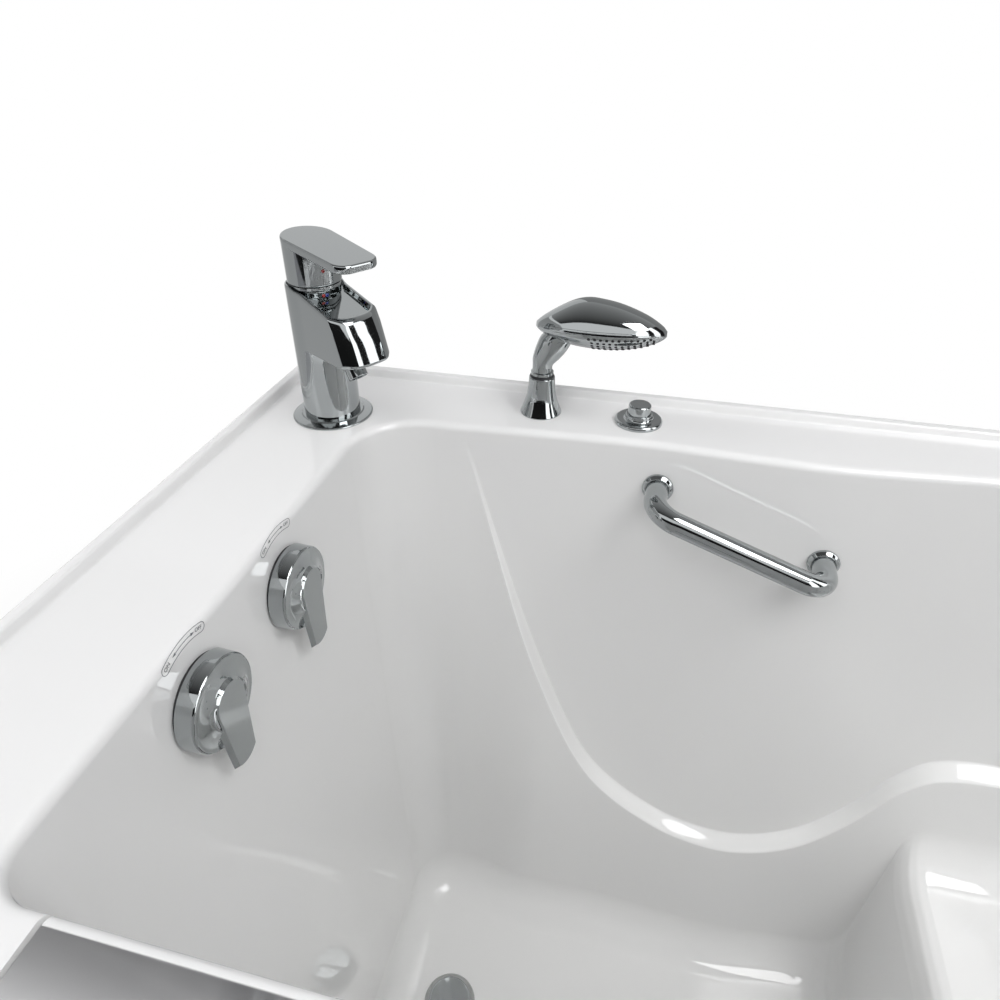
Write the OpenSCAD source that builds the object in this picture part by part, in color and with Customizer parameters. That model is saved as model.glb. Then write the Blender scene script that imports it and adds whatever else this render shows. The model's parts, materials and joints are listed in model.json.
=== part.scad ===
// Walk-in bathtub with an outward-swinging door in its front wall, a moulded
// seat at its right end and a deck mixer, hand shower, grab bar and two drain
// knobs. Millimetres. +X runs from the foot end to the seat end, +Y from the
// door to the back wall, +Z up. The origin is on the floor, under the middle.

/* [Tub shell] */
// Overall length of the rim
tub_l = 1321; // [1270:1:1400]
// Overall width of the rim
tub_w = 762; // [740:1:800]
// Height of the deck above the floor
deck_z = 1000; // [960:1:1040]
// Thickness of the moulded sheet
shell_t = 6; // [5:0.5:7]
// Width of the raised lip round the rim
lip_w = 14; // [10:0.5:18]
// Height of the lip above the deck
lip_h = 9; // [5:0.5:12]
// Height of the hem that hangs from the lip
hem_h = 38; // [34:1:46]
// Outer corner radius of the rim
rim_r = 20; // [16:1:26]
// Deck width at the foot end
deck_left = 131; // [126:1:140]
// Deck width at the seat end
deck_right = 120; // [110:1:130]
// Deck width at the front
deck_front = 88; // [84:1:94]
// Rounding of the deck into the walls
edge_r = 8; // [7:0.5:10]
// Lean of the side and foot walls, in degrees
wall_lean = 2; // [1:0.1:2.4]
// Lean of the backrest, in degrees
rest_lean = 8; // [6:0.5:9]
// Inner corner radius at the back of the foot end
corner_back = 80; // [70:1:84]
// Inner corner radius at the front of the foot end
corner_front = 38; // [34:1:50]
// Inner corner radius at the seat end
corner_seat = 90; // [80:1:94]
// Inner corner radius at floor level
corner_low = 72; // [68:1:76]
// Height of the foot well's floor
floor_z = 140; // [132:1:150]
// Fillet between walls and floor
floor_r = 55; // [45:1:58]
// Height of the seat
seat_z = 440; // [420:1:460]
// Seat front from the foot end's outer edge
seat_in = 846; // [835:1:856]
// Depth of the step along the moulded ledge
ledge_step = 22; // [16:1:26]
// Height over which the ledge steps in
ledge_h = 16; // [12:1:18]
// Start of the front wall's ledge from the foot end's outer edge
ledge_in = 700; // [690:5:710]

/* [Door] */
// Hinge axis from the foot end's outer edge
hinge_in = 182.5; // [178:0.5:186]
// Clear width of the door opening at its front
door_w = 457.3; // [445:0.1:462]
// Height of the sill above the floor
sill_z = 178; // [172:1:186]
// Thickness of the door frame
jamb_t = 6; // [5:0.5:7]
// Gap between the door and its frame
door_gap = 3.3; // [3:0.1:3.6]
// Taper of the latch side, in degrees
jamb_taper = 17; // [16:0.5:18]
// Depth of the dry rebate that houses the latch
dry_d = 26; // [25:0.5:28]
// Width of the step between the rebate and the wet face
dry_step = 14; // [13:0.5:16]
// Setback of door and panels behind the rim
setback = 10; // [9.5:0.5:11]
// Thickness of the panels and the door's skin
panel_t = 3; // [2.5:0.1:3.5]
// Wall of the door's inner tray
door_wall = 5; // [4:0.5:6]
// Height of the door's cap
cap_h = 40; // [39:0.5:42]
// Clearance of the seal to the door
seal_gap = 0.3; // [0.2:0.05:0.5]
// Width of the seal
seal_w = 12; // [10:1:16]
// Radius of the hinge knuckles
knuckle_r = 5; // [4.5:0.1:5]
// Radius of the hinge pins
pin_r = 2.5; // [2:0.1:3]
// Height of one hinge
hinge_h = 90; // [80:1:100]
// Thickness of the hinge leaves
leaf_t = 2.5; // [2:0.1:2.5]
// Width of one hinge leaf
leaf_w = 30; // [26:1:34]

/* [Latch] */
// Height of the latch spindle
latch_z = 620; // [600:1:640]
// Spindle from the rebate's edge of the door
latch_in = 38; // [36:0.5:42]
// Travel of the latch bar over a quarter turn
bar_travel = 18; // [17:0.5:18.5]
// Teeth of the pinion for a full turn
pinion_n = 12; // [12:1:14]
// Face width of the pinion
pinion_w = 12; // [10:1:13]
// Width of the latch bar
bar_w = 16; // [14:0.5:17]
// Thickness of the latch bar
bar_t = 5.5; // [5:0.1:6]
// Radius of the latch cams
cam_r = 4; // [3.5:0.1:4.4]
// Length of the latch lever
lever_l = 112; // [95:1:125]
// Clearance between the sliding parts of the latch
slide_gap = 0.3; // [0.2:0.05:0.4]

/* [Mixer] */
// Mixer axis from the foot end's outer edge
mixer_x = 92; // [89:1:94]
// Mixer axis from the back outer edge
mixer_y = 117; // [112:1:122]
// Direction of the spout, in degrees from +X
mixer_turn = -32; // [-40:1:-25]
// Radius of the column
column_r = 31; // [29:0.5:32]
// Radius of the base ring
base_ring_r = 44.7; // [40:0.5:46]
// Height of the base ring
base_ring_h = 5; // [4:0.5:6]
// Height of the column's back
column_h = 151.5; // [148:0.5:151.5]
// Height of the spout's front edge, top
spout_top = 131; // [126:1:134]
// Reach of the spout's front edge, top
spout_reach = 75; // [72:1:80]
// Height of the spout's lower lip
spout_low = 90; // [84:1:94]
// Reach of the spout's lower lip
spout_out = 93; // [90:1:98]
// Width of the spout
spout_w = 58; // [54:1:60]
// Radius of the neck under the lever
neck_r = 26; // [25:0.5:27]
// Depth of the neck's top below the column's back
neck_in = 3.5; // [3:0.5:6]
// Thickness of the turning collar
collar_t = 3.4; // [3:0.1:4]
// Radius of the lever's drum
drum_r = 28; // [27:0.5:29]
// Height of the lever's top above the neck, at its axis
lever_up = 49; // [44:1:54]
// Fall of the lever's top towards its tip, in degrees
lever_fall = 6.5; // [4:0.5:8]
// Reach of the lever
lever_reach = 88; // [80:1:94]
// Thickness of the lever's plate
lever_t = 9; // [7:0.5:11]
// Radius of the aerator
aerator_r = 10.5; // [9:0.5:11]
// Length of the aerator
aerator_l = 28; // [24:1:32]
// Running clearance of turning fits
run_gap = 0.05; // [0.02:0.01:0.08]
// Radius of the mixer's threaded shank
mixer_shank_r = 16.5; // [15:0.5:17]
// Radius of the supply connectors
inlet_r = 10.4; // [10:0.1:10.6]

/* [Hand shower] */
// Holder axis from the foot end's outer edge
shower_x = 322; // [310:1:335]
// Holder and button axes from the back outer edge
fitting_y = 57; // [54:1:60]
// Radius of the holder's foot
holder_r = 23.5; // [22:0.5:25]
// Height of the holder
holder_h = 44; // [40:1:48]
// Radius of the handset's stem
stem_r = 11; // [10:0.5:11.5]
// Length of the spray head
head_l = 138; // [125:1:145]
// Width of the spray head
head_w = 68; // [60:1:74]
// Height of the head's dome
head_h = 36; // [30:1:40]
// Roll of the spray face towards the tub, in degrees
head_roll = 34; // [25:1:40]

/* [Air button] */
// Button axis from the foot end's outer edge
button_x = 433; // [425:1:445]
// Radius of the button's base
button_base_r = 26.4; // [24:0.2:28]
// Radius of the button
button_r = 12.5; // [11.5:0.1:13]
// Travel of the button
button_travel = 4; // [3:0.5:5]

/* [Grab bar] */
// Foot-side flange from the foot end's outer edge
bar_x1 = 464; // [455:1:475]
// Seat-side flange from the foot end's outer edge
bar_x2 = 649; // [640:1:660]
// Depth of the foot-side flange below the deck
bar_d1 = 52; // [48:1:56]
// Depth of the seat-side flange below the deck
bar_d2 = 115; // [108:1:122]
// Radius of the tube
bar_r = 12.2; // [11:0.1:13]
// Distance of the tube's axis from the wall
bar_out = 55; // [50:1:60]
// Bend radius of the tube
bar_bend = 27; // [24:1:32]
// Radius of the flanges
bar_flange_r = 17; // [16:0.5:19]

/* [Drains] */
// Near knob from the back outer edge
knob_y1 = 480.5; // [478:0.5:483]
// Far knob from the back outer edge
knob_y2 = 342; // [339:0.5:345]
// Depth of the knobs below the deck
knob_d = 61.5; // [58:0.5:65]
// Radius of the knobs
knob_r = 40; // [38:0.5:42]
// Height of the knobs over their gaskets
knob_h = 21.5; // [20:0.5:23]
// Radius of the knob spindles
spindle_r = 5; // [4:0.5:6]
// Drain axis from the foot end's outer edge
drain_x = 265; // [262:1:280]
// Radius of the drain flange
drain_r = 38; // [36:0.5:40]
// Radius of the stopper
stopper_r = 31; // [29:0.5:33]
// Lift of the stopper
stopper_lift = 10; // [8:0.5:12]
// Radius of the tailpiece
tail_r = 19; // [18:0.5:20]
// Radius of the control cables
cable_r = 3; // [2.5:0.25:3.5]

/* [Water jets] */
// Jets on the back wall, from the foot end's outer edge
jet_x = [932, 1012]; // [925:1:1020]
// Jets in the backrest, from the middle
jet_y = [70, -90]; // [-100:1:80]
// Height of the jets above the ledge's end
jet_up = 25.4; // [24:0.2:40]
// Radius of a jet's face
jet_r = 17; // [16:0.5:18]
// Radius of a jet's nozzle
nozzle_r = 9; // [8:0.5:10]
// Radius of the pipes
pipe_r = 10.5; // [9.5:0.5:11.5]
// Radius of the suction cover
suction_r = 46; // [42:1:50]
// Height of the suction cover's middle
suction_z = 290; // [280:1:300]
// Radius of the pump's wet end
volute_r = 60; // [55:1:64]
// Radius of the pump's motor
motor_r = 54; // [50:1:58]
// Length of the pump's motor
motor_l = 190; // [170:1:210]

/* [Base] */
// Size of the square frame tubes
tube = 30; // [28:1:32]
// Wall of the frame tubes
tube_t = 1.5; // [1.2:0.1:2]
// Height of the lower rails' underside
rail_z = 40; // [36:1:44]
// Radius of the feet
foot_r = 24; // [20:1:26]
// Radius of the feet's threaded stems
foot_stem_r = 6; // [5:0.5:7]

/* [Hidden] */
$fn = 48;

acrylic = "#f2f2f0";
chrome = "#9aa1a6";
steel = "#b4b8ba";
rubber = "#2b2b2d";
moulded = "#5a5e63";
pipework = "#dcdcd6";

// Widths of the back deck, read against the distance from the foot end's edge
back_deck = [[229, 107], [341, 100], [449, 96], [552, 101], [649, 103], [789, 91],
    [960, 88], [1100, 88]];
// Depths of the moulded ledge below the deck, read the same way
ledge_path = [[250, 25], [291, 171], [332, 305], [395, 469], [443, 542], [520, 594],
    [594, 613], [662, 606], [724, 574], [774, 515], [814, 442], [850, 406],
    [914, 395], [1180, 394]];
// Sections of the seat's front, as steps in x and heights
seat_in_x = -tub_l / 2 + seat_in;
riser = [[-65, floor_z], [-45, floor_z + 3], [-30, floor_z + 12], [-20, floor_z + 28],
    [-13, floor_z + 55], [-1, seat_z - 45], [3, seat_z - 24], [9, seat_z - 10],
    [17, seat_z - 3], [28, seat_z]];

half_l = tub_l / 2;
half_w = tub_w / 2;
wall_z = deck_z - edge_r;
wall_l = -half_l + deck_left;
wall_r = half_l - deck_right;
wall_f = -half_w + deck_front;
first_x = -half_l + 240;
last_x = half_l - 280;
hem_z = deck_z + lip_h - hem_h;
under_z = deck_z - shell_t;
eps = 0.01;

// ------------------------------------------------------------------ helpers

function lerp(a, b, t) = a + (b - a) * t;
function clip(t) = min(1, max(0, t));
function ease(t) = let (c = clip(t)) c * c * (3 - 2 * c);
function row_of(tab, x, k = 0) =
    (k >= len(tab) - 2 || x < tab[k + 1][0]) ? k : row_of(tab, x, k + 1);
// value of a table at x along straight lines
function along(tab, x) =
    let (k = row_of(tab, x), a = tab[k], b = tab[k + 1])
    lerp(a[1], b[1], clip((x - a[0]) / (b[0] - a[0])));
// value of a table at x along a smooth curve through its rows
function curve(tab, x) =
    let (k = row_of(tab, x), a = tab[max(0, k - 1)], b = tab[k], c = tab[k + 1],
        d = tab[min(len(tab) - 1, k + 2)], h = c[0] - b[0], t = clip((x - b[0]) / h),
        m = (c[1] - a[1]) / (c[0] - a[0]) * h, n = (d[1] - b[1]) / (d[0] - b[0]) * h)
    (2 * t - 3) * t * t * (b[1] - c[1]) + b[1] + (t * t - 2 * t + 1) * t * m
    + (t - 1) * t * t * n;

function back_y(x) = half_w - curve(back_deck, x + half_l);
function ledge_z(x) = deck_z - curve(ledge_path, x + half_l);
function drop(z) = max(0, wall_z - z) * tan(wall_lean);
function rest_drop(z) = max(0, wall_z - z) * tan(rest_lean);
// faces of the walls above the ledge
function face_back(x, z) = back_y(x) - edge_r - drop(z);
function face_left(z) = wall_l + edge_r + drop(z);
function face_right(z) = wall_r - edge_r - rest_drop(z);
function face_front(z) = wall_f + edge_r + drop(z);
function base_z(x, t = 0) = along(riser, x - t - seat_in_x);
function step_back(x) =
    ledge_step * ease((x + half_l - 240) / 110) * ease((last_x + 10 - x) / 100);
function step_front(x) =
    ledge_step * ease((x + half_l - ledge_in) / 80) * ease((last_x + 10 - x) / 100);

module tube_run(a, b, r) {
    d = b - a;
    l = norm(d);
    translate(a) rotate([0, acos(d[2] / l), atan2(d[1], d[0])]) cylinder(h = l, r = r);
}

// quarter bend of a pipe: centre of the bend, its plane's turn, and its start
module bend(at, turn, start, big, r) {
    translate(at) rotate(turn) rotate_extrude(angle = 90, start = start)
        translate([big, 0]) circle(r = r);
}

module hex_nut(af, h, bore) {
    difference() {
        cylinder(h = h, r = af / sqrt(3), $fn = 6);
        translate([0, 0, -1]) cylinder(h = h + 2, r = bore);
    }
}

// ---------------------------------------------------------------- tub shell
// One closed sheet: lines run from the middle of the floor, up the walls, over
// the deck and lip, round the hem and back under the sheet.

straight_x = concat(
    [for (k = [0:14]) lerp(first_x, seat_in_x + riser[0][0], k / 15)],
    [for (r = riser) seat_in_x + r[0]],
    [for (k = [1:5]) lerp(seat_in_x + riser[9][0], last_x, k / 5)]);
arc_n = 5;
side_n = 3;
end_ledge = ledge_z(last_x);
front_ledge = ledge_z(-half_l + ledge_in);
left_ledge = deck_z - 150;
// each line: side, place along it, ledge height, ledge step, height of the base
lines = concat(
    [for (x = straight_x) [0, x, ledge_z(x), step_back(x), 0]],
    [for (k = [0:arc_n]) [1, 90 - 90 * k / arc_n, end_ledge, 0, 1]],
    [for (k = [1:side_n]) [2, lerp(180, -180, k / (side_n + 1)), end_ledge, 0, 1]],
    [for (k = [0:arc_n]) [3, -90 * k / arc_n, end_ledge, 0, 1]],
    [for (k = [len(straight_x) - 1:-1:0]) let (x = straight_x[k])
        [4, x, x + half_l < ledge_in ? front_ledge : ledge_z(x), step_front(x), 0]],
    [for (k = [0:arc_n]) [5, -90 - 90 * k / arc_n, front_ledge, 0, 2]],
    [for (k = [1:side_n]) [6, lerp(-190, 150, k / (side_n + 1)),
        lerp(front_ledge, left_ledge, k / side_n), 0, 2]],
    [for (k = [0:arc_n]) [7, 180 - 90 * k / arc_n,
        lerp(left_ledge, ledge_z(first_x), k / arc_n), 0, 2]]);

function line_base(u, t) = u[4] == 0 ? base_z(u[1], t) : u[4] == 1 ? seat_z : floor_z;
function turned(c, r, a) = [c[0] + r * cos(a), c[1] + r * sin(a)];
function low_r(r, z) = lerp(r, corner_low, clip((deck_z - z) / (deck_z - floor_z)));
// plan position of a line at height z, q inside the deck's edge
function wall_xy(u, z, q) =
    let (d = drop(z), e = rest_drop(z), s = u[0],
        rb = low_r(corner_back, z), rs = low_r(corner_seat, z), rf = low_r(corner_front, z))
    s == 0 ? [u[1], back_y(u[1]) - d - q] :
    s == 1 ? turned([wall_r - e - rs, back_y(last_x) - d - rs], rs - q, u[1]) :
    s == 2 ? [wall_r - e - q, u[1]] :
    s == 3 ? turned([wall_r - e - rs, wall_f + d + rs], rs - q, u[1]) :
    s == 4 ? [u[1], wall_f + d + q] :
    s == 5 ? turned([wall_l + d + rf, wall_f + d + rf], rf - q, u[1]) :
    s == 6 ? [wall_l + d + q, u[1]] :
    turned([wall_l + d + rb, back_y(first_x) - d - rb], rb - q, u[1]);
function rim_xy(u, q) =
    let (s = u[0], cx = half_l - rim_r, cy = half_w - rim_r, r = rim_r - q)
    s == 0 ? [u[1], half_w - q] : s == 1 ? turned([cx, cy], r, u[1]) :
    s == 2 ? [half_l - q, u[1]] : s == 3 ? turned([cx, -cy], r, u[1]) :
    s == 4 ? [u[1], -half_w + q] : s == 5 ? turned([-cx, -cy], r, u[1]) :
    s == 6 ? [-half_l + q, u[1]] : turned([-cx, cy], r, u[1]);
// heights and insets of one line from the deck's edge down to the floor
function levels(u, t) =
    let (b = line_base(u, t), zl = u[2], st = u[3], e = edge_r - t)
    concat([for (a = [0, 45, 90]) [wall_z + e * cos(a), e * sin(a)]],
        [[lerp(wall_z, zl + ledge_h / 2, 0.5), e]],
        [for (k = [0:3]) [zl + ledge_h * (0.5 - k / 3) - min(k, 1) * t, e + st * ease(k / 3)]],
        [[lerp(zl - ledge_h / 2 - t, b + floor_r, 0.5), e + st]],
        [for (a = [0, 30, 60, 90]) [b + floor_r - (floor_r + t) * sin(a),
            edge_r + st + floor_r - (floor_r + t) * cos(a)]]);
function spine(u, t) =
    [u[4] == 0 ? u[1] : u[4] == 1 ? last_x : first_x, -4, line_base(u, t) - t];
rim_rings = [[lip_w, deck_z], [lip_w - 2.5, deck_z + lip_h], [2.5, deck_z + lip_h],
    [0, deck_z + lip_h - 3], [0, hem_z], [shell_t, hem_z], [shell_t, under_z]];
n_level = len(levels(lines[0], 0));

function ring(k) =
    k == 0 ? [for (u = lines) spine(u, 0)] :
    k <= n_level ? [for (u = lines) let (v = levels(u, 0)[n_level - k])
        concat(wall_xy(u, v[0], v[1]), v[0])] :
    k <= n_level + len(rim_rings) ? [for (u = lines) let (v = rim_rings[k - n_level - 1])
        concat(rim_xy(u, v[0]), v[1])] :
    k <= 2 * n_level + len(rim_rings) ?
        [for (u = lines) let (v = levels(u, shell_t)[k - n_level - len(rim_rings) - 1])
            concat(wall_xy(u, v[0], v[1]), v[0])] :
    [for (u = lines) spine(u, shell_t)];

module shell_sheet() {
    nu = len(lines);
    nr = 2 * n_level + len(rim_rings) + 2;
    pts = [for (k = [0:nr - 1]) each ring(k)];
    faces = [for (k = [0:nr - 2], i = [0:nu - 1])
        let (j = (i + 1) % nu, a = k * nu + i, b = k * nu + j, c = a + nu, d = b + nu)
        each [if (pts[a] != pts[b]) [a, c, b], if (pts[c] != pts[d]) [b, c, d]]];
    polyhedron(points = pts, faces = faces);
}

// ------------------------------------------------------------- door opening

hinge_x = -half_l + hinge_in;
hinge_y = -half_w + knuckle_r;
front_y = -half_w + setback;
skin_y = front_y + panel_t;
open_l = hinge_x + 0.7;
open_r = open_l + door_w;
dry_y = front_y + dry_d;
far_y = -half_w + 142;
cap_z = deck_z - cap_h;
frame_top = wall_z - 7;
bend_top = frame_top + 0.3;
function jamb_x(y) = open_r - dry_step - (y - dry_y) * tan(jamb_taper);
door_l = open_l + door_gap;
function edge_x(y) = jamb_x(y) - door_gap / cos(jamb_taper);
dry_edge = open_r - dry_step - 10;
skin_r = open_r - 2.3;

// plan of the opening between the jambs
module opening_plan() {
    polygon([[open_l, front_y - 1], [open_r, front_y - 1], [open_r, dry_y],
        [jamb_x(dry_y), dry_y], [jamb_x(far_y), far_y], [open_l, far_y]]);
}

// slab that keeps what lies outside a wall face set back by q
module outside_face(q, z1, z2, x1, x2) {
    translate([x1, 0, 0]) rotate([90, 0, 90]) linear_extrude(x2 - x1)
        polygon([[-half_w - 1, z1], [face_front(z1) - q, z1], [face_front(z2) - q, z2],
            [-half_w - 1, z2]]);
}

module deck_hole(x, y, r) {
    translate([x, y, under_z - 1]) cylinder(h = shell_t + 2, r = r, $fn = 32);
}

// frames on the walls: local +Z points into the tub
module on_left(y, z) {
    translate([face_left(z), y, z]) rotate([0, 90 - wall_lean, 0]) children();
}
module on_back(x, z) {
    translate([x, face_back(x, z), z]) rotate([90 - wall_lean, 0, 0]) children();
}
module on_right(y, z) {
    translate([face_right(z), y, z]) rotate([0, rest_lean - 90, 0]) children();
}
riser_lean = atan((riser[5][0] - riser[4][0]) / (riser[5][1] - riser[4][1]));
riser_x = seat_in_x + lerp(riser[4][0], riser[5][0],
    (suction_z - riser[4][1]) / (riser[5][1] - riser[4][1]));
module on_riser() {
    translate([riser_x, pump_y, suction_z]) rotate([0, riser_lean - 90, 0]) children();
}

mixer_at = [-half_l + mixer_x, half_w - mixer_y];
shower_at = [-half_l + shower_x, half_w - fitting_y];
button_at = [-half_l + button_x, half_w - fitting_y];
knob_z = deck_z - knob_d;
knob_ys = [half_w - knob_y1, half_w - knob_y2];
bar_at = [for (p = [[bar_x1, bar_d1], [bar_x2, bar_d2]])
    let (x = -half_l + p[0], z = deck_z - p[1]) [x, face_back(x, z), z]];
drain_at_x = -half_l + drain_x;
jet_z = end_ledge + jet_up;
jet_xs = [-half_l + jet_x[0], -half_l + jet_x[1]];
pump_y = -40;
bush_r = 11;
stud_r = 4;
drain_neck_r = 25;

module tub_shell() color(acrylic) resize([tub_l, tub_w, 0]) difference() {
    shell_sheet();
    // door opening: full size under the deck, tight in the deck, wide in the hem
    intersection() {
        translate([0, 0, sill_z - jamb_t - 0.3]) linear_extrude(bend_top - sill_z + jamb_t + 0.3)
            polygon([[open_l - jamb_t - 0.3, front_y - 30], [open_r + jamb_t + 0.3, front_y - 30],
                [open_r + jamb_t + 0.3, far_y], [open_l - jamb_t - 0.3, far_y]]);
        translate([-half_l, -half_w - 1, 0]) cube([tub_l, deck_front + 90, deck_z + 50]);
    }
    translate([0, 0, bend_top - 1]) linear_extrude(100) opening_plan();
    translate([hinge_x - 3.5, -half_w - 5, bend_top - 60])
        cube([open_r + 1.7 - hinge_x + 3.5, setback + 10, 150]);
    // holes of the deck fittings
    deck_hole(mixer_at[0], mixer_at[1], mixer_shank_r + 0.5);
    deck_hole(shower_at[0], shower_at[1], insert_r + 2.9);
    deck_hole(button_at[0], button_at[1], button_r + 2.5);
    // holes of the wall fittings
    for (y = knob_ys) on_left(y, knob_z) translate([0, 0, -15])
        cylinder(h = 30, r = bush_r + 0.5, $fn = 32);
    for (p = bar_at) on_back(p[0], p[2]) translate([0, 0, -15])
        cylinder(h = 30, r = stud_r + 0.5, $fn = 20);
    for (x = jet_xs) on_back(x, jet_z) translate([0, 0, -15])
        cylinder(h = 30, r = nozzle_r + 3.5, $fn = 28);
    for (y = jet_y) on_right(y, jet_z) translate([0, 0, -15])
        cylinder(h = 30, r = nozzle_r + 3.5, $fn = 28);
    on_riser() translate([0, 0, -20]) cylinder(h = 40, r = suction_r * 0.6, $fn = 32);
    for (y = knob_ys) translate([drain_at_x, y, floor_z - 20])
        cylinder(h = 40, r = drain_neck_r + 0.5, $fn = 32);
}

// --------------------------------------------------------------- base frame

rail_top = rail_z + tube;
post_x = half_l - 14 - tube;
post_y = half_w - 14 - tube;
door_post_l = open_l - jamb_t - 2 - tube;
door_post_r = open_r + jamb_t + 4;
cross_x = [drain_at_x + 65.5, drain_at_x + 355.5, seat_in_x + 99.5,
    half_l - 190.5];
beam_z = under_z - tube;

// a square tube between two corners, made thinner by q on every side
module box_tube(at, size, q) {
    translate(at + [q, q, q]) cube(size - 2 * [q, q, q]);
}

module tubes(q) {
    for (s = [-1, 1]) {
        y = s > 0 ? post_y : -post_y - tube;
        box_tube([-post_x - tube, y, rail_z], [2 * (post_x + tube), tube, tube], q);
        x = s > 0 ? post_x : -post_x - tube;
        box_tube([x, -post_y - tube, rail_z], [tube, 2 * (post_y + tube), tube], q);
        box_tube([x, -post_y - tube, beam_z], [tube, 2 * (post_y + tube), tube], q);
        for (t = [-1, 1]) box_tube([x, t > 0 ? post_y : -post_y - tube, rail_z],
            [tube, tube, under_z - rail_z], q);
    }
    box_tube([-post_x - tube, post_y, beam_z - 120], [2 * (post_x + tube), tube, tube], q);
    box_tube([-post_x - tube, -post_y - tube, beam_z],
        [door_post_l + tube + post_x + tube, tube, tube], q);
    box_tube([door_post_r, -post_y - tube, beam_z], [post_x + tube - door_post_r, tube, tube], q);
    for (x = [door_post_l, door_post_r])
        box_tube([x, -post_y - tube, rail_z], [tube, tube, under_z - rail_z], q);
    for (x = cross_x) box_tube([x, -post_y - tube, rail_z], [tube, 2 * (post_y + tube), tube], q);
    // props under the foot well and the seat
    for (x = [cross_x[0], cross_x[1]], y = [-130, 80])
        box_tube([x, y, rail_z], [tube, tube, floor_z - shell_t - rail_z], q);
    for (y = [-180, 130])
        box_tube([cross_x[2], y, rail_z], [tube, tube, seat_z - shell_t - rail_z], q);
}

foot_at = [for (x = [-post_x - tube / 2 + 25, -40 + tube / 2, post_x + tube / 2 - 25],
    y = [-post_y - tube / 2, post_y + tube / 2]) [x, y]];

module base_frame() color(steel) difference() {
    tubes(0);
    tubes(tube_t);
    for (p = foot_at) translate([p[0], p[1], rail_z - 1]) cylinder(h = tube + 2, r = foot_stem_r + 0.3);
}

module levelling_feet() color(rubber) for (p = foot_at) translate([p[0], p[1], 0]) {
    rotate_extrude() polygon([[0, 0], [foot_r, 0], [foot_r, 5], [foot_r - 8, 11], [0, 11]]);
    cylinder(h = rail_top + 6, r = foot_stem_r);
}

module foot_lock_nuts() color(steel) for (p = foot_at) translate([p[0], p[1], rail_z - 8])
    hex_nut(foot_stem_r * 3, 8, foot_stem_r);

// ------------------------------------------------------------------- panels

panel_low = 22;
panel_top = under_z - 2;
screw_r = 4;
screw_at = [for (x = [-half_l + 60, open_r + 60, half_l - 60], z = [panel_low + 32, deck_z / 2,
    hem_z - 24]) [x, z]];

module front_panel() color(acrylic) translate([0, skin_y, 0]) rotate([90, 0, 0])
    linear_extrude(panel_t) difference() {
        translate([-half_l + setback + 1, panel_low])
            square([tub_l - 2 * setback - 2, panel_top - panel_low]);
        translate([open_l - jamb_t - 0.3, sill_z - jamb_t - 0.3])
            square([door_w + 2 * jamb_t + 0.6, deck_z]);
        for (p = screw_at) translate(p) circle(r = screw_r / 2 + 0.2);
    }

module end_plate() translate([skin_y + 0.3, panel_low])
    square([half_w - setback - skin_y - 1.3, panel_top - panel_low]);

module left_end_panel() color(acrylic) translate([-half_l + setback, 0, 0]) rotate([90, 0, 90])
    linear_extrude(panel_t) end_plate();

louvre_n = 7;
module right_end_panel() color(acrylic) translate([half_l - setback - panel_t, 0, 0])
    rotate([90, 0, 90]) linear_extrude(panel_t) difference() {
        end_plate();
        for (k = [0:louvre_n - 1]) translate([-110, panel_low + 90 + 26 * k]) {
            square([150, 9]);
            for (x = [0, 150]) translate([x, 4.5]) circle(r = 4.5);
        }
    }

module panel_screws() color(chrome) for (p = screw_at) translate([p[0], front_y - eps, p[1]])
    rotate([-90, 0, 0]) {
        translate([0, 0, -1.8]) cylinder(h = 1.8, r1 = screw_r - 1, r2 = screw_r);
        cylinder(h = panel_t + 0.3, r = screw_r / 2);
    }

// --------------------------------------------------------- door frame, seal

module door_frame() color(acrylic) intersection() {
    translate([0, 0, sill_z - jamb_t]) union() {
        linear_extrude(jamb_t) translate([open_l - jamb_t, front_y])
            square([door_w + 2 * jamb_t, far_y - front_y]);
        linear_extrude(frame_top - sill_z + jamb_t) difference() {
            translate([open_l - jamb_t, front_y]) square([door_w + 2 * jamb_t, far_y - front_y]);
            opening_plan();
        }
    }
    outside_face(0, sill_z - jamb_t, frame_top, -half_l, half_l);
}

seal_y = -half_w + 61;
seal_n = [-cos(jamb_taper), -sin(jamb_taper)];
module door_seal() color(rubber) {
    t = door_gap - seal_gap;
    translate([0, 0, sill_z]) linear_extrude(cap_z - sill_z - 2) {
        translate([open_l, seal_y]) square([t, seal_w]);
        a = [jamb_x(seal_y), seal_y];
        b = [jamb_x(seal_y + seal_w), seal_y + seal_w];
        polygon([a, b, b + t * seal_n, a + t * seal_n]);
    }
    translate([0, 0, sill_z]) linear_extrude(t) polygon([[open_l, seal_y],
        [jamb_x(seal_y), seal_y], [jamb_x(seal_y + seal_w), seal_y + seal_w],
        [open_l, seal_y + seal_w]]);
}

// ------------------------------------------------------------------- hinges

hinge_zs = [sill_z + 92, deck_z - 220];
third = hinge_h / 3;
leaf_y = front_y - leaf_t;

module knuckle(z, h, bore) translate([hinge_x, hinge_y, z]) difference() {
    cylinder(h = h, r = knuckle_r);
    translate([0, 0, -1]) cylinder(h = h + 2, r = bore);
}

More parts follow.
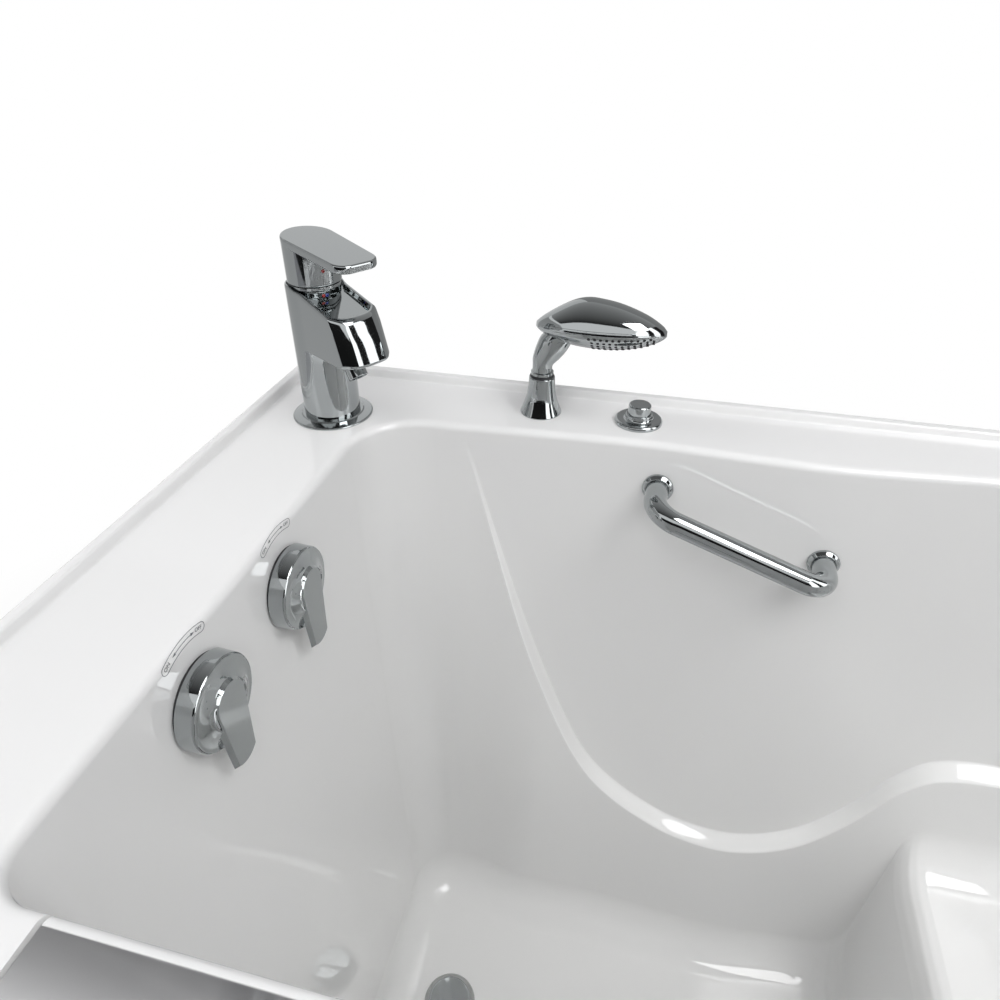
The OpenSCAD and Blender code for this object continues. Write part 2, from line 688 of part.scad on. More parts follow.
module hinge_fixed_leaves() color(steel) for (z = hinge_zs) difference() {
    union() {
        translate([hinge_x - leaf_w, leaf_y, z]) cube([leaf_w, leaf_t, hinge_h]);
        for (k = [0, 2]) translate([hinge_x, hinge_y, z + k * third])
            cylinder(h = third - (k == 0 ? 0.2 : 0), r = knuckle_r);
    }
    translate([hinge_x, hinge_y, z - 1]) cylinder(h = hinge_h + 2, r = pin_r);
    translate([hinge_x - knuckle_r - 0.6, hinge_y - knuckle_r - 1, z + third - 0.2])
        cube([2 * knuckle_r + 2, 2 * knuckle_r + 2, third + 0.2]);
    for (k = [0.17, 0.83]) translate([hinge_x - leaf_w * 0.6, front_y + 1, z + k * hinge_h])
        rotate([90, 0, 0]) cylinder(h = leaf_t + 2, r = 2);
}

module hinge_door_leaves() color(steel) for (z = hinge_zs) difference() {
    union() {
        translate([hinge_x, leaf_y, z]) cube([leaf_w, leaf_t, hinge_h]);
        translate([hinge_x, hinge_y, z + third]) cylinder(h = third - 0.2, r = knuckle_r);
    }
    translate([hinge_x, hinge_y, z - 1]) cylinder(h = hinge_h + 2, r = pin_r + run_gap);
    for (k = [0, 2]) translate([hinge_x - knuckle_r - 1, hinge_y - knuckle_r - 1,
        z + k * third - (k == 0 ? 1 : 0.2)])
        cube([2 * knuckle_r + 1.6, 2 * knuckle_r + 2, third + 1.2 - (k == 0 ? 0.2 : 0)]);
    for (k = [0.17, 0.83]) translate([hinge_x + leaf_w * 0.6, front_y + 1, z + k * hinge_h])
        rotate([90, 0, 0]) cylinder(h = leaf_t + 2, r = 2);
}

module hinge_pins() color(steel) for (z = hinge_zs) translate([hinge_x, hinge_y, z - 1.5]) {
    cylinder(h = hinge_h + 3, r = pin_r);
    cylinder(h = 1.5, r = pin_r + 1.5);
    translate([0, 0, hinge_h + 1.5]) cylinder(h = 1.5, r = pin_r + 1.5);
}

// --------------------------------------------------------------------- door

door_low = sill_z + door_gap;
spindle_x = dry_edge - latch_in;

module door_plan(q) {
    polygon([[door_l + q, skin_y - (q > 0 ? 1 : 0)], [dry_edge - q, skin_y - (q > 0 ? 1 : 0)],
        [dry_edge - q, dry_y + q], [edge_x(dry_y + q) - q, dry_y + q],
        [edge_x(far_y) - q, far_y], [door_l + q, far_y]]);
}

rack_end = 8.2;
window_h = 2 * bar_travel + 2 * rack_end + 4;
module door_shell() color(acrylic) difference() {
    intersection() {
        translate([0, 0, door_low]) linear_extrude(cap_z - door_low) door_plan(0);
        outside_face(0, door_low, cap_z, -half_l, half_l);
    }
    intersection() {
        translate([0, 0, door_low + door_wall]) linear_extrude(cap_z - door_low - 2 * door_wall)
            door_plan(door_wall);
        outside_face(door_wall, door_low, cap_z, -half_l, half_l);
    }
    // window of the rack and bore of the spindle
    translate([dry_edge - door_wall - 1, bar_y - bar_w / 2 + 1, latch_z - bar_travel - rack_end - 2])
        cube([door_wall + 2, bar_w - 2, window_h]);
    translate([spindle_x, far_y, latch_z]) rotate([90, 0, 0])
        cylinder(h = 60, r = lever_pin_r + run_gap);
}

module door_skin() color(acrylic) translate([door_l, front_y, door_low])
    cube([skin_r - door_l, panel_t, cap_z - door_low]);

cap_corner = 6;
module cap_plan() {
    translate([door_l + cap_corner, -half_w]) square([skin_r - door_l - 2 * cap_corner, setback]);
    translate([door_l, -half_w + cap_corner]) square([skin_r - door_l, setback - cap_corner]);
    for (x = [door_l + cap_corner, skin_r - cap_corner]) translate([x, -half_w + cap_corner])
        circle(r = cap_corner);
    polygon([[door_l, front_y], [skin_r, front_y], [skin_r, dry_y], [edge_x(dry_y), dry_y],
        [edge_x(far_y), far_y], [door_l, far_y]]);
}

// section of the rim across the door, thinned by q
module cap_section(q) difference() {
    union() {
        polygon([[-half_w + q, hem_z - (q > 0 ? 30 : 0)], [-half_w + q, deck_z + lip_h - q],
            [-half_w + lip_w - q, deck_z + lip_h - q], [-half_w + lip_w - q, deck_z - q],
            [wall_f, deck_z - q], [wall_f, wall_z], [face_front(cap_z) - q, wall_z - 0.1],
            [face_front(cap_z) - q, hem_z - (q > 0 ? 30 : 0)]]);
        translate([wall_f, wall_z]) circle(r = edge_r - q);
        translate([front_y - 0.01, cap_z - (q > 0 ? 1 : 0)])
            square([face_front(cap_z) - front_y - q, hem_z - cap_z + 1]);
    }
    polygon([[face_front(cap_z) - q, cap_z], [wall_f + edge_r - q, wall_z], [wall_f + 40, wall_z],
        [wall_f + 40, cap_z - 40], [face_front(cap_z) - q, cap_z - 40]]);
}

module door_cap() color(acrylic) intersection() {
    translate([0, 0, cap_z]) linear_extrude(cap_h + lip_h + 1) cap_plan();
    translate([door_l - 1, 0, 0]) rotate([90, 0, 90]) linear_extrude(skin_r - door_l + 2)
        cap_section(0);
    union() {
        translate([door_l - 1, 0, 0]) rotate([90, 0, 90]) linear_extrude(skin_r - door_l + 2)
            difference() {
                cap_section(0);
                translate([front_y + 4, cap_z + door_wall]) square([face_front(cap_z) - front_y - 12,
                    under_z - cap_z - door_wall]);
            }
        for (x = [door_l - 1, skin_r - 50]) translate([x, front_y, cap_z])
            cube([x < 0 && x < skin_r - 60 ? 6 : 51, deck_front + 20, cap_h + lip_h]);
    }
}

// -------------------------------------------------------------------- latch
// A lever on the wet face turns a pinion inside the door. The pinion drives a
// rack on a bar that slides in the dry rebate and pushes its cams up behind
// the claws of the keepers.

pitch_r = bar_travel / (PI / 2);
module_t = 2 * pitch_r / pinion_n;
tooth_h = 0.84 * module_t;
bar_y = front_y + 13;
bar_x0 = dry_edge + slide_gap;
rack_x = spindle_x + pitch_r;
lever_pin_r = 6;
bar_low = sill_z + 92;
bar_high = cap_z - 70;
cam_zs = [bar_low + 60, bar_low + 290, bar_high - 60];
guide_zs = [bar_low + 15, bar_low + 200, bar_high - 150];

// involute of the base circle, at roll angle a
function involute(r, a) = [r * (cos(a) + a * PI / 180 * sin(a)), r * (sin(a) - a * PI / 180 * cos(a))];
function spun(p, a) = [p[0] * cos(a) - p[1] * sin(a), p[0] * sin(a) + p[1] * cos(a)];
base_r = pitch_r * cos(20);
tip_r = pitch_r + tooth_h;
roll_pitch = sqrt(pow(pitch_r / base_r, 2) - 1) * 180 / PI;
roll_tip = sqrt(pow(tip_r / base_r, 2) - 1) * 180 / PI;
half_tooth = 90 / pinion_n - 0.9 + roll_pitch - 20;

module pinion_plan() {
    circle(r = pitch_r - tooth_h - 0.4);
    for (k = [0:pinion_n - 1]) rotate(k * 360 / pinion_n) {
        flank = [for (i = [0:4]) spun(involute(base_r, roll_tip * i / 4), -half_tooth)];
        polygon(concat([spun([pitch_r - tooth_h - 1, 0], -half_tooth)], flank,
            [for (i = [4:-1:0]) [flank[i][0], -flank[i][1]]],
            [spun([pitch_r - tooth_h - 1, 0], half_tooth)]));
    }
}

module latch_pinion() color(steel) translate([spindle_x, bar_y + pinion_w / 2, latch_z])
    rotate([90, 0, 0]) linear_extrude(pinion_w) difference() {
        rotate(pinion_n % 2 == 0 ? 180 / pinion_n : 0) pinion_plan();
        square(lever_pin_r * 1.3, center = true);
    }

module latch_lever() color(chrome) {
    y0 = face_front(latch_z) + 1.2;
    translate([spindle_x, 0, latch_z]) rotate([-90, 0, 0]) {
        translate([0, 0, bar_y + pinion_w / 2 + 0.3])
            cylinder(h = y0 - bar_y - pinion_w / 2, r = lever_pin_r);
        translate([0, 0, bar_y - pinion_w / 2 - 1]) linear_extrude(pinion_w + 2)
            square(lever_pin_r * 1.3, center = true);
        translate([0, 0, y0]) cylinder(h = 14, r = 17);
        translate([0, 0, y0 + 14]) cylinder(h = 3, r1 = 17, r2 = 13);
    }
    translate([spindle_x, y0 + 8, latch_z]) rotate([-90, 0, 0]) linear_extrude(9) {
        polygon([[0, -13], [0, 13], [-lever_l, 9], [-lever_l, -9]]);
        translate([-lever_l, 0]) circle(r = 9);
        circle(r = 13);
    }
}

module latch_bar() color(steel) {
    translate([bar_x0, bar_y - bar_w / 2, bar_low]) cube([bar_t, bar_w, bar_high - bar_low]);
    for (z = cam_zs) translate([bar_x0 + bar_t, bar_y, z]) rotate([0, 90, 0])
        cylinder(h = open_r - 5 - bar_x0 - bar_t, r = cam_r);
    p = PI * module_t;
    translate([0, bar_y + 4, latch_z]) rotate([90, 0, 0]) linear_extrude(8) {
        translate([rack_x + tooth_h + 0.4, -bar_travel - rack_end])
            square([bar_x0 - rack_x - tooth_h, bar_travel + 2 * rack_end]);
        w = p / 4 - 0.12;
        for (k = [-ceil(bar_travel / p) - 1:1]) translate([rack_x, k * p])
            polygon([[tooth_h + 0.5, -w - (tooth_h + 0.5) * tan(20)], [-tooth_h, -w + tooth_h * tan(20)],
                [-tooth_h, w - tooth_h * tan(20)], [tooth_h + 0.5, w + (tooth_h + 0.5) * tan(20)]]);
    }
}

guide_t = 1.5;
module latch_guides() color(steel) for (z = guide_zs) translate([dry_edge, bar_y, z]) difference() {
    translate([0, -bar_w / 2 - slide_gap - guide_t, 0]) cube([bar_t + 2 * slide_gap + guide_t,
        bar_w + 2 * (slide_gap + guide_t), 14]);
    translate([-1, -bar_w / 2 - slide_gap, -1])
        cube([bar_t + 2 * slide_gap + 1, bar_w + 2 * slide_gap, 16]);
}

claw_x = 8.5;
claw_y = 9.3;
module latch_keepers() color(steel) for (z = cam_zs) {
    translate([open_r - claw_x, bar_y - claw_y, z + cam_r + 4]) difference() {
        cube([claw_x, 2 * claw_y, 30]);
        translate([-1, claw_y - cam_r - 1.4, -1]) cube([claw_x - 0.5, 2 * cam_r + 2.8, bar_travel + 5]);
    }
}

// -------------------------------------------------------------------- mixer

module at_mixer() translate([mixer_at[0], mixer_at[1], deck_z]) rotate(mixer_turn) children();

module faucet_flange() color(chrome) at_mixer() rotate_extrude() polygon([[mixer_shank_r, 0],
    [base_ring_r, 0], [base_ring_r, 1.6], [base_ring_r - 1.4, 2.6], [column_r + 4, base_ring_h - 1],
    [column_r + 3, base_ring_h], [mixer_shank_r, base_ring_h]]);

neck_h = column_h - neck_in;
lever_top = neck_h + lever_up;
lid_slope = (column_h - spout_top) / (spout_reach + 6);
module spout_side(top) rotate([90, 0, 0]) linear_extrude(2 * column_r + 20, center = true)
    polygon([[-column_r - 1, base_ring_h], [-column_r - 1, top], [-6, top],
        [spout_reach, top - lid_slope * (spout_reach + 6)],
        [spout_reach + 9, lerp(spout_top, spout_low, 0.36)],
        [spout_out, spout_low], [spout_out - 3, spout_low - 4], [column_r + 8, spout_low - 2],
        [column_r + 0.5, spout_low - 12], [column_r + 0.5, base_ring_h]]);
spout_r = 15;
dish = neck_in + 1.5;
module spout_plan(q) {
    circle(r = column_r - q);
    translate([0, -spout_w / 2 + q]) square([spout_out + 1 - spout_r, spout_w - 2 * q]);
    translate([0, -spout_w / 2 + spout_r]) square([spout_out + 1 - q, spout_w - 2 * spout_r]);
    for (s = [-1, 1]) translate([spout_out + 1 - spout_r, s * (spout_w / 2 - spout_r)])
        circle(r = spout_r - q);
}

module faucet_body() color(chrome) at_mixer() {
    difference() {
        intersection() {
            linear_extrude(column_h) spout_plan(0);
            spout_side(column_h);
        }
        // dished top round the neck
        intersection() {
            translate([0, 0, spout_low]) linear_extrude(column_h) {
                circle(r = drum_r + 0.5);
                intersection() {
                    spout_plan(5);
                    translate([0, -column_r]) square([spout_reach - 7, 2 * column_r]);
                }
            }
            difference() {
                translate([-column_r, -column_r, 0])
                    cube([spout_reach + column_r, 2 * column_r, column_h + 1]);
                translate([0, 0, -dish]) spout_side(column_h);
            }
        }
        // socket of the swivelling aerator
        aerator_frame() sphere(r = ball_r + run_gap + 0.2);
    }
    translate([0, 0, column_h - 40]) cylinder(h = neck_h - column_h + 40, r = neck_r);
    translate([0, 0, -58]) cylinder(h = 58 + base_ring_h, r = mixer_shank_r);
}

ball_r = 9;
aerator_tilt = 36;
module aerator_frame() translate([column_r + 12, 0, spout_low - 1]) rotate([0, 180 - aerator_tilt, 0])
    children();
module faucet_aerator() color(chrome) at_mixer() aerator_frame() {
    sphere(r = ball_r);
    cylinder(h = 15, r = ball_r / 2);
    difference() {
        translate([0, 0, 14]) cylinder(h = aerator_l - 10, r = aerator_r);
        translate([0, 0, aerator_l + 1]) cylinder(h = 5, r = aerator_r - 2);
    }
}

tilt_at = [-16, neck_h + collar_t + 7];
module faucet_collar() color(chrome) at_mixer() {
    translate([0, 0, neck_h + 0.3]) cylinder(h = collar_t - 0.3, r = drum_r - 1.2);
    rotate([90, 0, 0]) linear_extrude(8, center = true) {
        translate([tilt_at[0] - 6, neck_h + collar_t - 0.5]) square([12, 7.5]);
        translate(tilt_at) circle(r = 6);
    }
    translate([tilt_at[0], 0, tilt_at[1]]) rotate([90, 0, 0]) cylinder(h = 20, r = 2, center = true);
}

drum_low = neck_h + collar_t + 0.8;
function lever_z(s) = lever_top - s * tan(lever_fall);
module lever_plan() {
    circle(r = drum_r);
    polygon([[0, drum_r], [0, -drum_r], [lever_reach - 15, -drum_r + 3], [lever_reach - 15, drum_r - 3]]);
    translate([0, -drum_r + 18]) square([lever_reach, 2 * drum_r - 36]);
    for (s = [-1, 1]) translate([lever_reach - 15, s * (drum_r - 18)]) circle(r = 15);
}
module faucet_lever() color(chrome) at_mixer() difference() {
    intersection() {
        linear_extrude(lever_top + 20) lever_plan();
        rotate([90, 0, 0]) linear_extrude(2 * drum_r + 2, center = true) polygon([
            [-drum_r - 1, drum_low + 4.5], [-drum_r + 13, drum_low], [drum_r - 1, drum_low],
            [drum_r - 1, lever_z(drum_r) - lever_t - 6], [drum_r + 7, lever_z(drum_r) - lever_t - 1],
            [lever_reach + 1, lever_z(lever_reach) - lever_t + 1.5],
            [lever_reach + 1, lever_z(lever_reach + 1)],
            [-drum_r - 1, lever_z(-drum_r - 1)]]);
    }
    // slot of the tongue and bore of its pin
    rotate([90, 0, 0]) linear_extrude(9, center = true) polygon([
        [tilt_at[0] - 9, 0], [tilt_at[0] - 7.5, tilt_at[1] + 7.5], [tilt_at[0] + 7.5, tilt_at[1] + 7.5],
        [tilt_at[0] + 9, 0]]);
    translate([tilt_at[0], 0, tilt_at[1]]) rotate([90, 0, 0])
        cylinder(h = 21, r = 2 + run_gap, center = true);
}

tail_low = -190;
module supply_tails() color(steel) at_mixer() for (s = [-1, 1]) translate([0, s * 14, 0]) {
    translate([0, 0, tail_low]) cylinder(h = -58 - tail_low, r = 4.5);
    translate([0, 0, tail_low - 22]) cylinder(h = 22, r = inlet_r);
    translate([0, 0, tail_low - 1]) cylinder(h = 9, r = 13, $fn = 6);
}

module deck_lock_nuts() color(steel) {
    translate([mixer_at[0], mixer_at[1], under_z - 12]) hex_nut(44, 12, mixer_shank_r + 0.1);
    translate([shower_at[0], shower_at[1], under_z - 9]) hex_nut(40, 9, insert_r + 2.5);
    translate([button_at[0], button_at[1], under_z - 8]) hex_nut(38, 8, button_r + 2.1);
}

// -------------------------------------------------------------- hand shower

module shower_holder() color(chrome) translate([shower_at[0], shower_at[1], deck_z]) {
    rotate_extrude() difference() {
        polygon(concat([[0, 0], [holder_r, 0], [holder_r, 1.2]],
            [for (k = [1:8]) let (t = k / 8)
                [lerp(holder_r, 14.5, 1 - pow(1 - t, 2.2)), lerp(1.2, holder_h - 1, t)]],
            [[13.7, holder_h], [0, holder_h]]));
        square([insert_r + run_gap, holder_h + 1]);
    }
    translate([0, 0, -40]) difference() {
        cylinder(h = 40.01, r = insert_r + 2.4);
        translate([0, 0, -1]) cylinder(h = 43, r = insert_r + run_gap);
    }
}

insert_r = stem_r + 1.6;
module holder_insert() color(moulded) translate([shower_at[0], shower_at[1], deck_z]) rotate_extrude()
    polygon([[stem_r + run_gap, -42], [insert_r, -42], [insert_r, holder_h + 0.3],
        [insert_r + 1, holder_h + 0.3], [insert_r + 0.4, holder_h + 2], [stem_r + run_gap, holder_h + 2]]);

// spray head: sections along its length, a dome above the rim and a shallow
// crown below it
head_n = 14;
head_m = 9;
head_at = [14, -4, 100];
function head_half(t) = pow(max(0.0001, 1 - pow(abs(t), 2.3)), 0.62);
function head_ring(t, w, up, down) = let (h = head_half(t), lift = 5 * t * t)
    [for (k = [0:2 * head_m - 1]) let (a = 180 * k / head_m)
        [t * head_l / 2, cos(a) * w / 2 * h, sin(a) * (sin(a) > 0 ? up * pow(h, 1.1) : down * h) + lift]];
module head_form(w, up, down) {
    rings = [for (k = [0:head_n]) let (t = sin(lerp(-84, 84, k / head_n))) head_ring(t, w, up, down)];
    n = 2 * head_m;
    faces = concat([[for (i = [0:n - 1]) i]], [[for (i = [0:n - 1]) head_n * n + n - 1 - i]],
        [for (k = [0:head_n - 1], i = [0:n - 1])
            let (a = k * n + i, b = k * n + (i + 1) % n) each [[a, b + n, b], [a, a + n, b + n]]]);
    polyhedron(points = [for (r = rings) each r], faces = faces);
}
module at_head() translate([shower_at[0], shower_at[1], deck_z]) translate(head_at)
    translate([head_l / 2 - 22, 0, 0]) rotate([-head_roll, 0, 0]) children();

module head_neck(q) hull() {
    translate([0, 0, holder_h + 12]) cylinder(h = 6, r = stem_r + q, $fn = 28);
    translate([13, -5, head_at[2] - 12]) scale([1.9, 1.05, 0.8]) sphere(r = 12 + q, $fn = 24);
}

module shower_handset() color(chrome) {
    translate([shower_at[0], shower_at[1], deck_z]) {
        translate([0, 0, -20]) cylinder(h = holder_h + 36, r = stem_r);
        translate([0, 0, holder_h + 2.3]) cylinder(h = 4, r = insert_r);
        head_neck(0);
    }
    at_head() head_form(head_w, head_h, 5);
}

module shower_spray_face() color(moulded) difference() {
    at_head() difference() {
        translate([4, 0, 0]) scale([0.86, 0.86, 1]) head_form(head_w, 0.5, 12);
        head_form(head_w + 2, head_h, 5.4);
    }
    translate([shower_at[0], shower_at[1], deck_z]) head_neck(0.4);
}

// --------------------------------------------------------------- air button

module button_base() color(chrome) translate([button_at[0], button_at[1], deck_z]) {
    rotate_extrude() difference() {
        polygon([[0, 0], [button_base_r, 0], [button_base_r, 2], [button_base_r - 2, 4.5],
            [button_r + 6, 8], [button_r + 2.5, 9], [button_r + 2, 14], [0, 14]]);
        square([button_r + run_gap, 15]);
    }
    translate([0, 0, -24]) difference() {
        cylinder(h = 24.01, r = button_r + 2);
        translate([0, 0, -1]) cylinder(h = 27, r = button_r + run_gap);
    }
}

module button_cap() color(chrome) translate([button_at[0], button_at[1], deck_z]) rotate_extrude()
    polygon([[0, 2], [button_r, 2], [button_r, 20.5], [button_r - 1.5, 22], [0, 22]]);

module air_bellows() color(moulded) translate([button_at[0], button_at[1], deck_z - 62]) {
    cylinder(h = 38, r = button_r + 5);
    translate([0, 0, -14]) cylinder(h = 14, r = 4);
}

tube_r = 3;
air_low = rail_top + 20;
module air_switch_tube() color(rubber) {
    a = [button_at[0], button_at[1]];
    r = 30;
    x2 = pump_x + 150;
    tube_run([a[0], a[1], air_low + r], [a[0], a[1], deck_z - 76.3], tube_r);
    bend([a[0] + r, a[1], air_low + r], [90, 0, 0], 180, r, tube_r);
    tube_run([a[0] + r, a[1], air_low], [x2 - r, a[1], air_low], tube_r);
    bend([x2 - r, a[1] - r, air_low], [0, 0, 0], 0, r, tube_r);
    tube_run([x2, pump_y + motor_r + 30, air_low], [x2, a[1] - r, air_low], tube_r);
}

// ----------------------------------------------------------------- grab bar

bar_d = bar_at[1] - bar_at[0];
bar_l = norm(bar_d);
bar_ex = bar_d / bar_l;
bar_ey = let (v = cross([0, sin(wall_lean), cos(wall_lean)], bar_ex)) v / norm(v);
bar_ez = cross(bar_ex, bar_ey);
// local X runs from flange to flange and local +Y into the wall
module at_bar() multmatrix([for (i = [0:2]) [bar_ex[i], bar_ey[i], bar_ez[i], bar_at[0][i]]])
    children();

module grab_bar() color(chrome) at_bar() {
    for (x = [0, bar_l]) translate([x, 0, 0]) rotate([90, 0, 0])
        translate([0, 0, 1]) cylinder(h = bar_out - bar_bend - 1, r = bar_r);
    translate([bar_bend, -bar_out + bar_bend, 0]) rotate_extrude(angle = 90, start = 180)
        translate([bar_bend, 0]) circle(r = bar_r);
    translate([bar_l - bar_bend, -bar_out + bar_bend, 0]) rotate_extrude(angle = 90, start = 270)
        translate([bar_bend, 0]) circle(r = bar_r);
    translate([bar_bend, -bar_out, 0]) rotate([0, 90, 0]) cylinder(h = bar_l - 2 * bar_bend, r = bar_r);
    for (x = [0, bar_l]) translate([x, 0, 0]) rotate([-90, 0, 0]) translate([0, 0, -1])
        cylinder(h = 26, r = stud_r);
}

module grab_bar_flanges() color(chrome) at_bar() for (x = [0, bar_l]) translate([x, -1, 0])
    rotate([90, 0, 0]) rotate_extrude() polygon([[bar_r, 0], [bar_flange_r, 0], [bar_flange_r, 3],
        [bar_r + 1.5, 7], [bar_r, 7]]);

module wall_lock_nuts() color(steel) {
    for (p = bar_at) on_back(p[0], p[2]) translate([0, 0, -shell_t - 7]) hex_nut(15, 6.4, stud_r + 0.6);
    for (x = jet_xs) on_back(x, jet_z) translate([0, 0, -shell_t - 8.4]) hex_nut(32, 8, nozzle_r + 3);
    for (y = jet_y) on_right(y, jet_z) translate([0, 0, -shell_t - 8.4]) hex_nut(32, 8, nozzle_r + 3);
}

// ------------------------------------------------------- drain knobs, drains

gasket_t = 3;
gasket_x = face_left(knob_z) + gasket_t;
bearing_x = face_left(knob_z) - 40;
knob_x = gasket_x + 0.3;

module knob_gaskets() color(moulded) for (y = knob_ys) intersection() {
    translate([gasket_x - 8, y, knob_z]) rotate([0, 90, 0]) difference() {
        cylinder(h = 8, r = knob_r - 0.6);
        translate([0, 0, -1]) cylinder(h = 12, r = bush_r + 0.3);
    }
    on_left(y, knob_z) translate([-50, -50, 0.2]) cube([100, 100, 20]);
}

// local Z leaves the wall, local X points down
module at_knob(y) translate([knob_x, y, knob_z]) rotate([0, 90, 0]) children();

// outline of the grip: round over the axis, tapering to a blunt tip below the drum
grip_r = 20.5;
nose_r = 22;
grip_plan = concat([for (a = [90:10:270]) grip_r * [cos(a), sin(a)] - [4, 0]],
    [for (a = [-40:10:40]) nose_r * [cos(a), sin(a)] + [knob_r + 5.5, 0]]);
grip_t = 4.6;
rim_h = knob_h - 7.2;
module knob(y) color(chrome) at_knob(y) {
    // drum with a face that rises to the grip in a hollow curve
    rotate_extrude() polygon(concat([[0, 0], [knob_r, 0], [knob_r - 0.8, rim_h - 1.4],
        [knob_r - 2.2, rim_h]], [for (t = [0.1:0.18:1])
            [lerp(knob_r - 3, grip_r, t), rim_h + 6 * pow(t, 1.8)]], [[0, rim_h + 6]]));
    intersection() {
        translate([0, 0, rim_h - 2]) linear_extrude(8) polygon(grip_plan);
        cylinder(h = knob_h, r = knob_r - 3);
    }
    translate([0, 0, knob_h - grip_t]) linear_extrude(grip_t) polygon(grip_plan);
    translate([0, 0, bearing_x + 4 - knob_x]) cylinder(h = knob_x - bearing_x - 3, r = spindle_r);
}
module drain_knob_near() knob(knob_ys[0]);
module drain_knob_far() knob(knob_ys[1]);

module knob_bearings() color(moulded) for (y = knob_ys) translate([bearing_x, y, knob_z])
    rotate([0, 90, 0]) difference() {
        union() {
            translate([-22, -18, -22]) cube([44, 36, 22]);
            cylinder(h = gasket_x - bearing_x - 1, r = bush_r);
            cylinder(h = 29, r = bush_r + 7, $fn = 6);
        }
        translate([0, 0, -10]) cylinder(h = 80, r = spindle_r + run_gap);
    }

cable_x = bearing_x - 11;
cable_z = floor_z - 42;
cable_bend = 60;
module drain_cables() color(rubber) for (y = knob_ys) {
    tube_run([cable_x, y, cable_z + cable_bend], [cable_x, y, knob_z - 22], cable_r);
    bend([cable_x + cable_bend, y, cable_z + cable_bend], [90, 0, 0], 180, cable_bend, cable_r);
    tube_run([cable_x + cable_bend, y, cable_z], [drain_at_x - drain_neck_r, y, cable_z], cable_r);
}

guide_r = 4;
module drain_bodies() color(steel) for (y = knob_ys) translate([drain_at_x, y, 0]) difference() {
    union() {
        translate([0, 0, floor_z]) cylinder(h = 3, r1 = drain_r, r2 = drain_r - 2);
        translate([0, 0, floor_z - 60]) cylinder(h = 61, r = drain_neck_r);
        translate([0, 0, floor_z - 14]) cylinder(h = 8, r = 34, $fn = 6);
        translate([0, 0, rail_z + 4]) cylinder(h = floor_z - 60 - rail_z, r = tail_r);
    }
    translate([0, 0, floor_z - 30]) difference() {
        cylinder(h = 40, r = drain_neck_r - 3);
        for (a = [0, 90]) rotate(a) translate([-30, -2, 14]) cube([60, 4, 10]);
        cylinder(h = 24, r = guide_r + 4);
    }
    translate([0, 0, rail_z]) cylinder(h = floor_z, r = guide_r + run_gap);
    for (a = [45, 135, 225, 315]) rotate(a) translate([11.5, 0, rail_z])
        cylinder(h = floor_z - 40, r = 4.5);
}

module stopper(y) color(chrome) translate([drain_at_x, y, floor_z + 3.3]) {
    rotate_extrude() polygon([[0, 0], [stopper_r - 4, 0], [stopper_r, 2], [stopper_r, 4],
        [stopper_r - 3, 6.5], [0, 8]]);
    translate([0, 0, -38]) cylinder(h = 39, r = guide_r);
}
module drain_stopper_near() stopper(knob_ys[0]);
module drain_stopper_far() stopper(knob_ys[1]);

// --------------------------------------------------------------- water jets

tail_l = 26;
module jet_housing() difference() {
    union() {
        translate([0, 0, 0.4]) rotate_extrude() polygon([[0, 0], [jet_r, 0], [jet_r, 1.5],
            [jet_r - 2, 3.5], [0, 3.5]]);
        translate([0, 0, -tail_l]) cylinder(h = tail_l + 1, r = nozzle_r + 3);
    }
    translate([0, 0, -8]) cylinder(h = 20, r = nozzle_r + run_gap);
}
module jet_housings() color(moulded) {
    for (x = jet_xs) on_back(x, jet_z) jet_housing();
    for (y = jet_y) on_right(y, jet_z) jet_housing();
}
module nozzle() color(rubber) difference() {
    union() {
        translate([0, 0, -7]) cylinder(h = 11.5, r = nozzle_r);
        translate([0, 0, 4.4]) cylinder(h = 2.2, r1 = nozzle_r - 1, r2 = nozzle_r - 2.5);
    }
    translate([2.6, 0, -8]) rotate([0, 12, 0]) cylinder(h = 18, r = 3);
}
module jet_nozzle_1() on_back(jet_xs[0], jet_z) nozzle();
module jet_nozzle_2() on_back(jet_xs[1], jet_z) nozzle();
module jet_nozzle_3() on_right(jet_y[0], jet_z) nozzle();
module jet_nozzle_4() on_right(jet_y[1], jet_z) nozzle();

pump_x = seat_in_x + 175;
pump_z = 165;
main_y = face_back(jet_xs[0], jet_z) + tail_l + 1 + pipe_r;
main_x = face_right(jet_z) + tail_l + pipe_r + 1;
turn_r = 30;
lift_z = seat_z - 60;
out_y = pump_y;
module jet_socket() translate([0, 0, -tail_l - 5]) difference() {
    cylinder(h = 12, r = nozzle_r + 6);
    translate([0, 0, 4.6]) cylinder(h = 12, r = nozzle_r + 3.3);
}
module jet_manifold() color(pipework) {
    a = pump_x - 25;
    for (x = jet_xs) on_back(x, jet_z) jet_socket();
    for (y = jet_y) on_right(y, jet_z) jet_socket();
    tube_run([a, out_y, pump_z + volute_r + 10.3], [a, out_y, lift_z - turn_r], pipe_r);
    bend([a, out_y + turn_r, lift_z - turn_r], [90, 0, 90], 90, turn_r, pipe_r);
    tube_run([a, out_y + turn_r, lift_z], [a, main_y - turn_r, lift_z], pipe_r);
    bend([a, main_y - turn_r, lift_z + turn_r], [90, 0, 90], 270, turn_r, pipe_r);
    tube_run([a, main_y, lift_z + turn_r], [a, main_y, jet_z + pipe_r], pipe_r);
    tube_run([jet_xs[0] - 20, main_y, jet_z], [main_x - turn_r, main_y, jet_z], pipe_r);
    bend([main_x - turn_r, main_y - turn_r, jet_z], [0, 0, 0], 0, turn_r, pipe_r);
    tube_run([main_x, jet_y[1] - 18, jet_z], [main_x, main_y - turn_r, jet_z], pipe_r);
}

